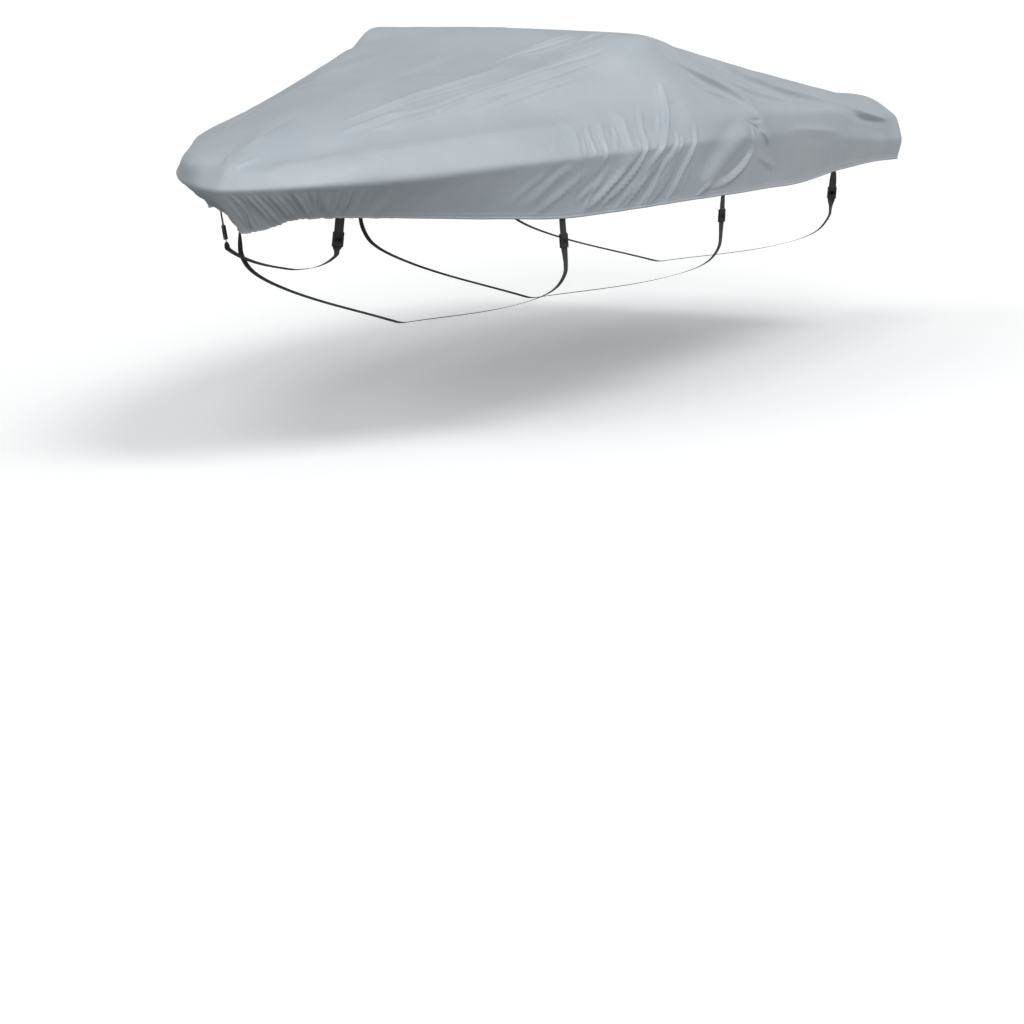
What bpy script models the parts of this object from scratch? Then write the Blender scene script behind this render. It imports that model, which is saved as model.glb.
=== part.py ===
"""Trailering cover for an open runabout, with its webbing straps and side-release buckles.

The cover stands as it does when it is drawn over a 5.4 m hull with a windshield: a sheet of two
panels that falls from the windshield to the bow, the sides and the stern, breaks over the deck
edge and the gunwale, and hangs as a skirt with a hem.  Four straps run from the hem under the
hull, each with a buckle on either side.  The boat itself is not part of the model.

Layout axes: x runs aft from the bow tip, port is -y, z is the height above the ground under the
boat.  Every finished piece is moved so that the underside of the sheet at the middle of the
windshield's top, where the cover bears, is the origin.
"""

import math

import bmesh
import bpy
import numpy as np
from mathutils import Vector

# ---------------------------------------------------------------- driving dimensions (metres)
LENGTH = 5.36               # bow tip to transom, along the gunwale's plan
HALF_BEAM = 1.034           # widest half of the plan
WIDEST_AT = 2.969           # how far aft the plan is widest
TRANSOM_HALF = 0.999        # half of the plan at the transom
TRANSOM_CORNER = 0.08       # plan radius of the stern corners
BOW_FULLNESS = 2.321        # the two powers that round the bow's plan
BOW_BLUNTNESS = 1.537
STARBOARD_SPREAD = 1.025    # the starboard half is drawn out this much wider
STARBOARD_LIFT = 0.012      # its ridge stands this much higher, and the port ridge lower
STARBOARD_HOLLOW = 0.050    # the starboard ridge dips this much just ahead of the windshield
HOLLOW_AT = 2.58
HOLLOW_HALF = 0.15
ORIGIN = Vector((2.437, 0.0, 1.711))    # underside of the sheet at the middle of the windshield

CLOTH = 0.002               # thickness of the sheet
HEM = 0.0045                # thickness at the hem, turned up over its drawcord
SEAM_GAP = 0.0005           # between the two panels' edges
TOUCH = 0.0004              # clearance between pieces that bear on each other
MERGE = 0.00002             # points this near each other are one

WEB_WIDTH = 0.040           # strap webbing
WEB_THICK = 0.0016
WEB_TOP = 0.052             # length sewn inside the skirt, up from the hem

# Height of the gunwale: distance aft, height
SHEER = np.array([
    (-0.10, 1.132),
    (0.00, 1.137),
    (0.50, 1.162),
    (1.20, 1.199),
    (2.20, 1.216),
    (3.20, 1.198),
    (4.20, 1.130),
    (5.31, 1.054),
    (5.50, 1.050),
])

# Profile of the sheet on each rib, from the spine down to the hem.
# Columns: distance round the gunwale from the bow tip; where the rib leaves the spine; height
# there; the ridge's share of the way out, its height and how softly it is rounded; how far
# inside the gunwale and how far above it the deck edge lies; drop of the hem below the gunwale
# and its tuck inwards.
RIBS = np.array([
    # round  spine x  spine z  ridge  ridge z  soft   deck in  deck up  drop    tuck
    (0.00,   0.34,    1.350,   0.55,  1.265,   0.30,   0.000,   0.100,   0.182, 0.180),
    (0.18,   0.38,    1.360,   0.515, 1.278,   0.30,   0.003,   0.107,   0.176, 0.189),
    (0.37,   0.44,    1.375,   0.48,  1.305,   0.30,   0.010,   0.115,   0.140, 0.190),
    (0.70,   0.60,    1.412,   0.43,  1.364,   0.30,   0.080,   0.130,   0.158, 0.155),
    (1.00,   0.82,    1.445,   0.42,  1.408,   0.30,   0.100,   0.130,   0.189, 0.115),
    (1.29,   1.05,    1.475,   0.44,  1.450,   0.30,   0.115,   0.130,   0.223, 0.090),
    (1.81,   1.52,    1.537,   0.52,  1.522,   0.25,   0.120,   0.130,   0.264, 0.060),
    (2.42,   2.10,    1.632,   0.635, 1.612,   0.15,   0.100,   0.116,   0.268, 0.050),
    (2.76,   2.437,   1.716,   0.69,  1.702,   0.06,   0.055,   0.105,   0.267, 0.045),
    (3.20,   2.86,    1.640,   0.71,  1.638,   0.10,   0.032,   0.103,   0.266, 0.040),
    (3.85,   3.48,    1.535,   0.74,  1.538,   0.15,   0.026,   0.109,   0.253, 0.040),
    (4.72,   4.30,    1.400,   0.80,  1.404,   0.15,   0.028,   0.139,   0.163, 0.035),
    (5.42,   4.85,    1.318,   0.86,  1.316,   0.12,   0.028,   0.132,   0.110, 0.025),
    (5.70,   4.95,    1.312,   0.80,  1.312,   0.12,   0.035,   0.130,   0.108, 0.020),
    (6.65,   5.00,    1.312,   0.60,  1.307,   0.12,   0.050,   0.130,   0.118, 0.020),
])

# How far the other bends are rounded to either side of their corners
SPINE_SOFT = 0.30
DECK_SOFT = 0.045
DECK_SOFT_BOW = 0.090
BOW_SOFT_PORT = (0.02, 0.12)        # distances round the gunwale between which the deck edge
BOW_SOFT_STARBOARD = (0.35, 0.85)   # turns from the bow's rounding to the plain one
GUNWALE_SOFT = 0.024

# The seam between the panels crosses the foredeck, slanting aft towards port
SEAM_AT = 1.79              # distance round the gunwale where it meets the spine and the hem
WINDSHIELD_AT = 2.76
SEAM_DRIFT_PORT = 0.125     # how far it swings aft halfway to the port gunwale,
SEAM_DRIFT_STARBOARD = -0.25    # and forward halfway to the starboard one

# Rows of the sheet's mesh, from the spine (0) over the ridge (1), the deck edge (2) and the
# gunwale (3) to the hem (4)
ROWS = np.array([0, 0.4, 0.75, 0.875, 1, 1.125, 1.25, 1.42, 1.58, 1.75,
                 2, 2.25, 2.75, 3, 3.25, 3.44, 3.63, 3.82, 4])

# Ribs of the mesh round each side: distance where a stretch ends, spacing along it
SPACING = [
    (0.09, 0.045),
    (0.63, 0.030),
    (1.79, 0.083),
    (2.76, 0.065),
    (3.70, 0.094),
    (5.30, 0.107),
    (5.75, 0.064),
    (6.65, 0.121),
]

# Folds of the port side.  Columns: where the fold starts and ends, each as distance round the
# gunwale and distance up the sheet from it (down is negative); how far it bows sideways; half
# of its width; its height; how much of its length fades in, and fades out.
FOLDS = [
    # round  up     round  up     bow     width  height fade   fade
    # strained from the windshield's corner down the foredeck
    (0.80,   0.44,  2.60,  0.86,  0.000,  0.050, 0.012, 0.35,  0.20),
    (0.64,   0.33,  2.72,  0.65,  0.012,  0.045, 0.015, 0.30,  0.12),
    (1.40,   0.34,  2.60,  0.56,  0.000,  0.045, 0.012, 0.35,  0.15),
    (1.30,   0.25,  2.45,  0.47,  0.000,  0.050, 0.010, 0.35,  0.25),
    # gathered into the hem round the bow
    (0.11,   0.00,  0.30, -0.26,  0.000,  0.022, 0.009, 0.35,  0.00),
    (0.21,   0.00,  0.38, -0.27,  0.000,  0.022, 0.011, 0.35,  0.00),
    (0.31,   0.00,  0.46, -0.28,  0.000,  0.022, 0.011, 0.35,  0.00),
    (0.42,  -0.02,  0.54, -0.28,  0.000,  0.022, 0.009, 0.40,  0.00),
    (0.76,  -0.04,  0.72, -0.26,  0.000,  0.030, 0.007, 0.40,  0.00),
    # slanting down the skirt amidships, with the puckers that they hang from
    (2.24,   0.02,  1.78, -0.30,  0.010,  0.045, 0.014, 0.25,  0.10),
    (2.42,   0.02,  2.06, -0.32,  0.012,  0.045, 0.016, 0.25,  0.05),
    (2.62,   0.05,  2.26, -0.32,  0.012,  0.042, 0.017, 0.25,  0.05),
    (2.72,   0.03,  2.48, -0.32,  0.006,  0.040, 0.012, 0.25,  0.05),
    (1.88,   0.19,  1.75,  0.00,  0.000,  0.035, 0.007, 0.30,  0.20),
    (2.10,   0.20,  1.95,  0.00,  0.000,  0.035, 0.009, 0.30,  0.20),
    (2.28,   0.22,  2.12,  0.00,  0.000,  0.035, 0.010, 0.30,  0.20),
    (2.72,   0.34,  2.42, -0.02,  0.015,  0.038, 0.014, 0.30,  0.15),
    # drawn down to the third strap
    (3.38,   0.04,  2.80, -0.27, -0.055,  0.055, 0.024, 0.25,  0.15),
    (3.46,   0.11,  3.56, -0.06,  0.000,  0.040, 0.010, 0.30,  0.30),
    # fanned aft from the windshield's corner
    (2.90,   0.56,  3.52,  0.12,  0.000,  0.055, 0.020, 0.20,  0.15),
    (3.30,   0.47,  4.50,  0.20,  0.015,  0.060, 0.018, 0.25,  0.25),
    (3.45,   0.50,  5.30,  0.24,  0.000,  0.060, 0.014, 0.25,  0.25),
    # round the stern
    (4.85,   0.21,  5.46,  0.08,  0.000,  0.045, 0.012, 0.30,  0.25),
    (5.60,   0.16,  5.64, -0.14,  0.000,  0.045, 0.007, 0.30,  0.00),
    (6.00,   0.10,  5.92, -0.16,  0.000,  0.060, 0.007, 0.40,  0.00),
]
STARBOARD_FOLD_SHIFT = -0.06    # the starboard folds lie this much further forward
STARBOARD_FOLD_HEIGHT = 0.55     # and stand this much as high
LEE = 0.45                      # depth of the trough beside a fold, as a share of its height

# A fitting at the bow raises the sheet: distance up from the gunwale, radius, height
BOW_LIGHT = (0.115, 0.055, 0.016)

# Straps.  Columns: distance round the gunwale; how far aft the strap crosses the keel; length
# of webbing between the hem and the buckle; turn of the buckle towards the bow, in degrees;
# then the hull's half breadth and height at the points that the strap bears on, from the
# topsides round the chine to the keel.
STRAPS = [
    (0.57, 0.56, 0.058, 0.0, ((0.262, 0.855), (0.215, 0.824), (0.120, 0.790), (0.000, 0.770))),
    (1.72, 1.45, 0.060, 0.0, ((0.825, 0.720), (0.790, 0.655), (0.650, 0.580), (0.000, 0.440))),
    (3.10, 2.74, 0.060, 10.0, ((0.975, 0.715), (0.930, 0.640), (0.760, 0.560), (0.000, 0.405))),
    (4.61, 4.27, 0.078, 50.0, ((0.965, 0.725), (0.915, 0.650), (0.760, 0.575), (0.000, 0.430))),
]
HEM_CLEAR = 0.006           # a strap bends only this far below the hem
STRAP_CELL = 0.048          # the sheet has a rib on either side of each strap, this far apart
FALL_STEPS = 10             # stretches of webbing from the hem to the buckle, on which it turns
UNTWIST_STEPS = 10          # stretches below the buckle, on which it turns back
HULL_STEPS = 9              # stretches from there to the keel

# Side-release buckle: the socket's block and core, then the plug's base and its two arms
BUCKLE_WIDTH = 0.047
BUCKLE_THICK = 0.012
SOCKET_BLOCK = 0.017
SOCKET_CORE_WIDTH = 0.029
SOCKET_CORE = 0.024
PLUG_BASE = 0.019
PLUG_ARM_WIDTH = 0.0075
BUCKLE_EDGE = 0.0015

CLOTH_COLOUR = (0.43, 0.47, 0.50)
WEB_COLOUR = (0.018, 0.018, 0.020)
BUCKLE_COLOUR = (0.012, 0.012, 0.013)


# ---------------------------------------------------------------- the sheet's shape
def monotone(x, xs, ys):
    """Smooth curve through table points that never overshoots them."""
    h = np.diff(xs)
    slope = np.diff(ys) / h
    tangent = np.zeros_like(ys)
    w1 = 2 * h[1:] + h[:-1]
    w2 = h[1:] + 2 * h[:-1]
    with np.errstate(divide="ignore", invalid="ignore"):
        inner = (w1 + w2) / (w1 / slope[:-1] + w2 / slope[1:])
    tangent[1:-1] = np.where(slope[:-1] * slope[1:] > 0, inner, 0.0)
    tangent[0] = slope[0]
    tangent[-1] = slope[-1]
    x = np.clip(x, xs[0], xs[-1])
    k = np.clip(np.searchsorted(xs, x, side="right") - 1, 0, len(h) - 1)
    t = (x - xs[k]) / h[k]
    return (ys[k] * (1 + 2 * t) * (1 - t) ** 2 + tangent[k] * h[k] * t * (1 - t) ** 2
            + ys[k + 1] * t * t * (3 - 2 * t) + tangent[k + 1] * h[k] * t * t * (t - 1))


def ease(value, low, high):
    """Smooth step from 0 at low to 1 at high."""
    t = np.clip((value - low) / (high - low), 0, 1)
    return t * t * (3 - 2 * t)


def half_breadth(x):
    """Half of the plan's breadth at a distance aft of the bow tip."""
    forward = 1 - (1 - np.clip(x / WIDEST_AT, 0, 1)) ** BOW_FULLNESS
    aft = np.clip((x - WIDEST_AT) / (LENGTH - WIDEST_AT), 0, 1)
    return HALF_BEAM * forward ** (1 / BOW_BLUNTNESS) - (HALF_BEAM - TRANSOM_HALF) * aft ** 2


def trace_plan():
    """Half of the gunwale's plan in fine steps: distance round it, and the points."""
    x = (LENGTH - TRANSOM_CORNER) * np.linspace(0, 1, 4000) ** 2.2
    side = np.stack([x, half_breadth(x)], 1)
    turn = np.linspace(0, math.pi / 2, 60)[1:]
    corner_y = side[-1, 1] - TRANSOM_CORNER
    corner = np.stack([LENGTH - TRANSOM_CORNER + TRANSOM_CORNER * np.sin(turn),
                       corner_y + TRANSOM_CORNER * np.cos(turn)], 1)
    across = np.linspace(corner_y, 0, 41)[1:]
    transom = np.stack([np.full_like(across, LENGTH), across], 1)
    plan = np.vstack([side, corner, transom])
    steps = np.hypot(*np.diff(plan, axis=0).T)
    return np.concatenate([[0.0], np.cumsum(steps)]), plan


ROUND, PLAN = trace_plan()
HALF_ROUND = ROUND[-1]      # bow tip to the middle of the transom


def plan_at(along):
    """Plan point at a distance round the port or starboard half, as x and breadth."""
    return np.interp(along, ROUND, PLAN[:, 0]), np.interp(along, ROUND, PLAN[:, 1])


def gunwale(along, side):
    """Gunwale points of one side, which is -1 for port and 1 for starboard."""
    x, breadth = plan_at(along)
    spread = STARBOARD_SPREAD if side > 0 else 1.0
    return np.stack([x, side * spread * breadth, monotone(x, SHEER[:, 0], SHEER[:, 1])], -1)


def outward(along, side):
    """Plan direction that points away from the boat, turned to straight ahead at the bow tip
    and to straight aft at the middle of the transom."""
    step = 0.004
    turn = 0.12
    inside = np.clip(along, step, HALF_ROUND - step)
    x0, y0 = plan_at(inside - step)
    x1, y1 = plan_at(inside + step)
    run = np.hypot(x1 - x0, y1 - y0)
    off_bow = np.clip(along / turn, 0, 1)
    off_stern = np.clip((HALF_ROUND - along) / turn, 0, 1)
    nx = -(y1 - y0) / run * off_bow - (1 - off_bow)
    ny = side * (x1 - x0) / run * off_bow * off_stern
    return np.stack([nx, ny], -1) / np.hypot(nx, ny)[..., None]


def corners(along, side):
    """Corners of the sheet's profile on each rib: spine, ridge, deck edge, gunwale and hem."""
    columns = [monotone(along, RIBS[:, 0], RIBS[:, k]) for k in range(1, RIBS.shape[1])]
    spine_x, spine_z, share, ridge_z, soft, deck_in, deck_up, drop, tuck = columns
    rail = gunwale(along, side)
    spine = np.stack([spine_x, np.zeros_like(spine_x), spine_z], -1)
    span = np.linalg.norm(rail[:, :2] - spine[:, :2], axis=-1)
    ridge = spine + (rail - spine) * share[:, None]
    off_centre = ease(along, 0.8, 2.2) * ease(HALF_ROUND - along, 0, 0.8)
    ridge[:, 2] = ridge_z + side * STARBOARD_LIFT * off_centre
    if side > 0:
        ridge[:, 2] -= STARBOARD_HOLLOW * np.exp(-((along - HOLLOW_AT) / HOLLOW_HALF) ** 2)
    deck = rail + (spine - rail) * (deck_in / span)[:, None]
    deck[:, 2] = rail[:, 2] + deck_up
    hem = rail.copy()
    hem[:, :2] -= outward(along, side) * tuck[:, None]
    hem[:, 2] -= drop
    return [spine, ridge, deck, rail, hem], soft


def deck_softness(along, side):
    """How far the deck edge is rounded on each rib: most at the bow."""
    start, end = BOW_SOFT_PORT if side < 0 else BOW_SOFT_STARBOARD
    return DECK_SOFT_BOW + (DECK_SOFT - DECK_SOFT_BOW) * ease(along, start, end)


def profile(along, side, row):
    """Points of the sheet on the ribs of one side, on one row counted from spine to hem."""
    points, soft = corners(along, side)
    across = 2 * points[0] - points[1]
    across[:, 2] = points[1][:, 2]
    path = [across] + points
    lengths = [np.linalg.norm(b - a, axis=-1) for a, b in zip(path, path[1:])]
    softness = [np.full_like(soft, SPINE_SOFT), soft, deck_softness(along, side),
                np.full_like(soft, GUNWALE_SOFT), np.zeros_like(soft)]
    zone = 0.25                 # rows this near a whole number lie on the rounded bend
    most = 0.46                 # share of a straight stretch that one bend may take
    bend = int(round(row))
    if bend < 4 and abs(row - bend) <= zone:
        corner = path[bend + 1]
        before = np.minimum(softness[bend] / lengths[bend], most)[:, None]
        after = np.minimum(softness[bend] / lengths[bend + 1], most)[:, None]
        a = corner + (path[bend] - corner) * before
        b = corner + (path[bend + 2] - corner) * after
        s = (row - bend + zone) / (2 * zone)
        return (1 - s) ** 2 * a + 2 * s * (1 - s) * corner + s * s * b
    k = min(int(row), 3)
    low = np.minimum(softness[k] / lengths[k + 1], most)
    high = np.minimum(softness[k + 1] / lengths[k + 1], most)
    stretch = 1 - zone if k == 3 else 1 - 2 * zone
    t = low + (1 - low - high) * (row - k - zone) / stretch
    return path[k + 1] + (path[k + 2] - path[k + 1]) * t[:, None]


def seam_drift(along, side, share):
    """How far ribs near the seam lean along the gunwale, so that a rib lies on the seam, at
    places given by their share of the way from the spine to the gunwale."""
    drift = SEAM_DRIFT_PORT if side < 0 else SEAM_DRIFT_STARBOARD
    fore = along / SEAM_AT
    aft = (WINDSHIELD_AT - along) / (WINDSHIELD_AT - SEAM_AT)
    near = np.clip(np.minimum(fore, aft), 0, 1)
    return drift * near[:, None] * np.sin(math.pi * np.clip(share, 0, 1))


def fold_lift(along, up, side):
    """Height of the folds at places given as distance round and distance up from the gunwale."""
    shift = 0.0 if side < 0 else STARBOARD_FOLD_SHIFT
    scale = 1.0 if side < 0 else STARBOARD_FOLD_HEIGHT
    lift = np.zeros_like(along)
    for a0, v0, a1, v1, bow, width, height, fade_in, fade_out in FOLDS:
        run = math.hypot(a1 - a0, v1 - v0)
        ca, cv = (a1 - a0) / run, (v1 - v0) / run
        da, dv = along - a0 - shift, up - v0
        t = (da * ca + dv * cv) / run
        across = dv * ca - da * cv - bow * 4 * np.clip(t * (1 - t), 0, None)
        shape = np.exp(-(across / width) ** 2)
        shape -= LEE * np.exp(-((across + 1.8 * width) / width) ** 2)
        ends = ease(t, 0, max(fade_in, 1e-6)) * ease(1 - t, 0, max(fade_out, 1e-6))
        lift += scale * height * shape * ends
    lift *= ease(along, 0, 0.06) * ease(HALF_ROUND - along, 0, 0.06) * ease(ROWS, 0, 0.4)
    above, radius, height = BOW_LIGHT
    return lift + height * np.exp(-(along ** 2 + (up - above) ** 2) / radius ** 2)


def side_points(along, side):
    """Points of one side's ribs and rows, and their distances down the sheet from the spine."""
    points = np.stack([profile(along[:, j], side, row) for j, row in enumerate(ROWS)], 1)
    steps = np.linalg.norm(np.diff(points, axis=1), axis=-1)
    return points, np.concatenate([np.zeros((len(along), 1)), np.cumsum(steps, 1)], 1)


def side_grid(stations, side):
    """Sheet points of one side before folds, as ribs by rows, with their distances round and
    up from the gunwale."""
    rail = list(ROWS).index(3)
    along = np.repeat(stations[:, None], len(ROWS), 1)
    points, down = side_points(along, side)
    along = along + seam_drift(stations, side, down / down[:, rail:rail + 1])
    points, down = side_points(along, side)
    return points, along, down[:, rail:rail + 1] - down


def shared(first, second):
    """The direction halfway between two arrays of directions."""
    both = first + second
    return both / np.linalg.norm(both, axis=-1, keepdims=True)


def normals(grid, seam):
    """Outward directions on a sheet given as (port, starboard) grids of ribs by rows.  Each
    side is continued across the spine, the bow and the transom by the other one, and the two
    ribs at the seam share theirs."""
    result = []
    for this, other, turn in ((0, 1, -1.0), (1, 0, 1.0)):
        own, far = grid[this], grid[other]
        wide = np.concatenate([far[1:2], own, far[-2:-1]], 0)
        over = np.concatenate([far[1:2, 1:2], far[:, 1:2], far[-2:-1, 1:2]], 0)
        wide = np.concatenate([over, wide], 1)
        along = np.gradient(wide, axis=0)[1:-1, 1:]
        down = np.gradient(wide, axis=1)[1:-1, 1:]
        cross = turn * np.cross(along, down)
        cross[0, 0], cross[-1, 0] = cross[0, 1], cross[-1, 1]
        result.append(cross / np.linalg.norm(cross, axis=-1, keepdims=True))
    port, starboard = result
    port[:, 0] = starboard[:, 0] = shared(port[:, 0], starboard[:, 0])
    for end in (0, -1):
        port[end] = starboard[end] = shared(port[end], starboard[end])
    for side in result:
        side[seam] = side[seam + 1] = shared(side[seam], side[seam + 1])
    return result


def stations():
    """Distances round the gunwale of the mesh's ribs, with a pair at the seam and one at each
    strap, and the place in the list of the rib just before the seam."""
    marks = []
    start = 0.0
    for end, spacing in SPACING:
        end = min(end, HALF_ROUND)
        marks += list(np.linspace(start, end, max(1, round((end - start) / spacing)) + 1)[:-1])
        start = end
    fixed = [SEAM_AT - SEAM_GAP / 2, SEAM_AT + SEAM_GAP / 2, HALF_ROUND, 0.0]
    for strap in STRAPS:
        fixed += [strap[0] - STRAP_CELL / 2, strap[0] + STRAP_CELL / 2]
    clear = 0.018               # a plain rib this near a fixed one is left out
    between = [(s[0] - STRAP_CELL / 2, s[0] + STRAP_CELL / 2) for s in STRAPS]
    kept = [m for m in marks if min(abs(m - f) for f in fixed) > clear
            and not any(low < m < high for low, high in between)]
    ordered = np.array(sorted(kept + fixed))
    return ordered, int(np.searchsorted(ordered, SEAM_AT)) - 1


def sheet_faces(ribs, seam):
    """Outer and inner faces of the sheet, each as (port, starboard) grids of ribs by rows."""
    base, lift = [], []
    for side in (-1, 1):
        points, along, up = side_grid(ribs, side)
        base.append(points)
        lift.append(fold_lift(along, up, side))
    base[0][:, 0] = base[1][:, 0] = (base[0][:, 0] + base[1][:, 0]) / 2
    outer = [p + n * h[..., None] for p, n, h in zip(base, normals(base, seam), lift)]
    wall = CLOTH + (HEM - CLOTH) * ease(ROWS, 3.6, 4)
    inner = [p - n * wall[:, None] for p, n in zip(outer, normals(outer, seam))]
    return outer, inner


# ---------------------------------------------------------------- making the pieces
def material(name, colour, roughness):
    finish = bpy.data.materials.new(name)
    finish.use_nodes = True
    shader = finish.node_tree.nodes["Principled BSDF"]
    shader.inputs["Base Color"].default_value = (*colour, 1.0)
    shader.inputs["Roughness"].default_value = roughness
    shader.inputs["Metallic"].default_value = 0.0
    finish.diffuse_color = (*colour, 1.0)
    return finish


def finish_piece(name, mesh_in_progress, finish):
    """Turn a bmesh, laid out on the boat, into a named object about the origin."""
    bmesh.ops.translate(mesh_in_progress, verts=mesh_in_progress.verts, vec=-ORIGIN)
    bmesh.ops.recalc_face_normals(mesh_in_progress, faces=mesh_in_progress.faces)
    mesh = bpy.data.meshes.new(name)
    mesh_in_progress.to_mesh(mesh)
    mesh_in_progress.free()
    mesh.materials.append(finish)
    mesh.shade_smooth()
    mesh.set_sharp_from_angle(angle=math.radians(40))
    piece = bpy.data.objects.new(name, mesh)
    bpy.context.scene.collection.objects.link(piece)
    return piece


def add_face_grid(bm, grid):
    """Add a grid of faces whose corners are the given points."""
    last_rib, last_row = grid.shape[0] - 1, grid.shape[1] - 1
    made = bmesh.ops.create_grid(bm, x_segments=last_rib, y_segments=last_row, size=1.0)
    for vert in made["verts"]:
        rib = round((vert.co.x + 1) / 2 * last_rib)
        row = round((vert.co.y + 1) / 2 * last_row)
        vert.co = grid[rib, row]


def panel(name, outer, inner, finish):
    """A panel of the sheet: its two faces, joined round the seam edge and the hem."""
    bm = bmesh.new()
    add_face_grid(bm, outer)
    add_face_grid(bm, inner)
    bmesh.ops.remove_doubles(bm, verts=bm.verts, dist=MERGE)
    rim = [edge for edge in bm.edges if edge.is_boundary]
    bmesh.ops.bridge_loops(bm, edges=rim)
    return finish_piece(name, bm, finish)


def build_cover(ribs, seam, outer, inner, finish):
    """The fore panel wraps the bow from seam to seam; the main panel wraps the stern."""
    fore = [np.concatenate([port[seam:0:-1], starboard[:seam + 1]]) for port, starboard in
            (outer, inner)]
    main = [np.concatenate([starboard[seam + 1:], port[-2:seam:-1]]) for port, starboard in
            (outer, inner)]
    panel("cover_fore_panel", fore[0], fore[1], finish)
    panel("cover_main_panel", main[0], main[1], finish)


def ribbon(name, route, widths, finish):
    """Webbing along a route, given at each point with the direction of its width."""
    rings = []
    for k, point in enumerate(route):
        tangent = (route[min(k + 1, len(route) - 1)] - route[max(k - 1, 0)]).normalized()
        across = (widths[k] - tangent * widths[k].dot(tangent)).normalized()
        through = tangent.cross(across) * WEB_THICK / 2
        across *= WEB_WIDTH / 2
        ring = [point - across - through, point + across - through,
                point + across + through, point - across + through]
        rings.append(ring + ring[:1])
    bm = bmesh.new()
    add_face_grid(bm, np.array(rings))
    bmesh.ops.remove_doubles(bm, verts=bm.verts, dist=MERGE)
    bmesh.ops.holes_fill(bm, edges=[edge for edge in bm.edges if edge.is_boundary], sides=4)
    return finish_piece(name, bm, finish)


def plate(name, outline, frame, finish):
    """A moulded half of a buckle: an outline of (across, down) corners, given its thickness and
    soft edges, set in a frame of origin, across, down and outward directions."""
    origin, across, down, out = frame
    bm = bmesh.new()
    corners_made = [bm.verts.new((x, y, -BUCKLE_THICK / 2)) for x, y in outline]
    face = bm.faces.new(corners_made)
    made = bmesh.ops.extrude_face_region(bm, geom=[face])
    raised = [item for item in made["geom"] if isinstance(item, bmesh.types.BMVert)]
    bmesh.ops.translate(bm, verts=raised, vec=(0, 0, BUCKLE_THICK))
    bmesh.ops.recalc_face_normals(bm, faces=bm.faces)
    bmesh.ops.bevel(bm, geom=bm.edges, affect="EDGES", offset=BUCKLE_EDGE, segments=1,
                    profile=0.5, material=-1)
    for vert in bm.verts:
        x, y, z = vert.co
        vert.co = origin + across * x + down * y + out * z
    return finish_piece(name, bm, finish)


def socket_outline():
    block, core = BUCKLE_WIDTH / 2, SOCKET_CORE_WIDTH / 2
    end = SOCKET_BLOCK + SOCKET_CORE
    return [(-block, 0), (block, 0), (block, SOCKET_BLOCK), (core, SOCKET_BLOCK),
            (core, end), (-core, end), (-core, SOCKET_BLOCK), (-block, SOCKET_BLOCK)]


def plug_outline():
    base, arm = BUCKLE_WIDTH / 2, BUCKLE_WIDTH / 2 - PLUG_ARM_WIDTH
    tip = SOCKET_BLOCK + TOUCH
    shoulder = SOCKET_BLOCK + SOCKET_CORE + TOUCH
    end = shoulder + PLUG_BASE
    return [(-base, tip), (-arm, tip), (-arm, shoulder), (arm, shoulder), (arm, tip),
            (base, tip), (base, end), (-base, end)]


def under_half(line, turned):
    """Half of the webbing under the hull, from a buckle to the keel: points on a smooth curve
    through the given ones, and the width's direction at each.  The webbing is out of the
    buckle's turn at the first point that it bears on."""
    points = np.array(line)
    lengths = np.linalg.norm(np.diff(points, axis=0), axis=1)
    at = np.concatenate([[0.0], np.cumsum(lengths)])
    along = np.concatenate([np.linspace(0, at[1], UNTWIST_STEPS, endpoint=False),
                            np.linspace(at[1], at[-1], HULL_STEPS + 1)])
    route = np.stack([monotone(along, at, points[:, k]) for k in range(3)], 1)
    aft = Vector((1, 0, 0))
    if turned.dot(aft) < 0:
        turned = -turned
    widths = [turned.lerp(aft, min(distance / at[1], 1)) for distance in along]
    return [Vector(point) for point in route], widths


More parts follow.
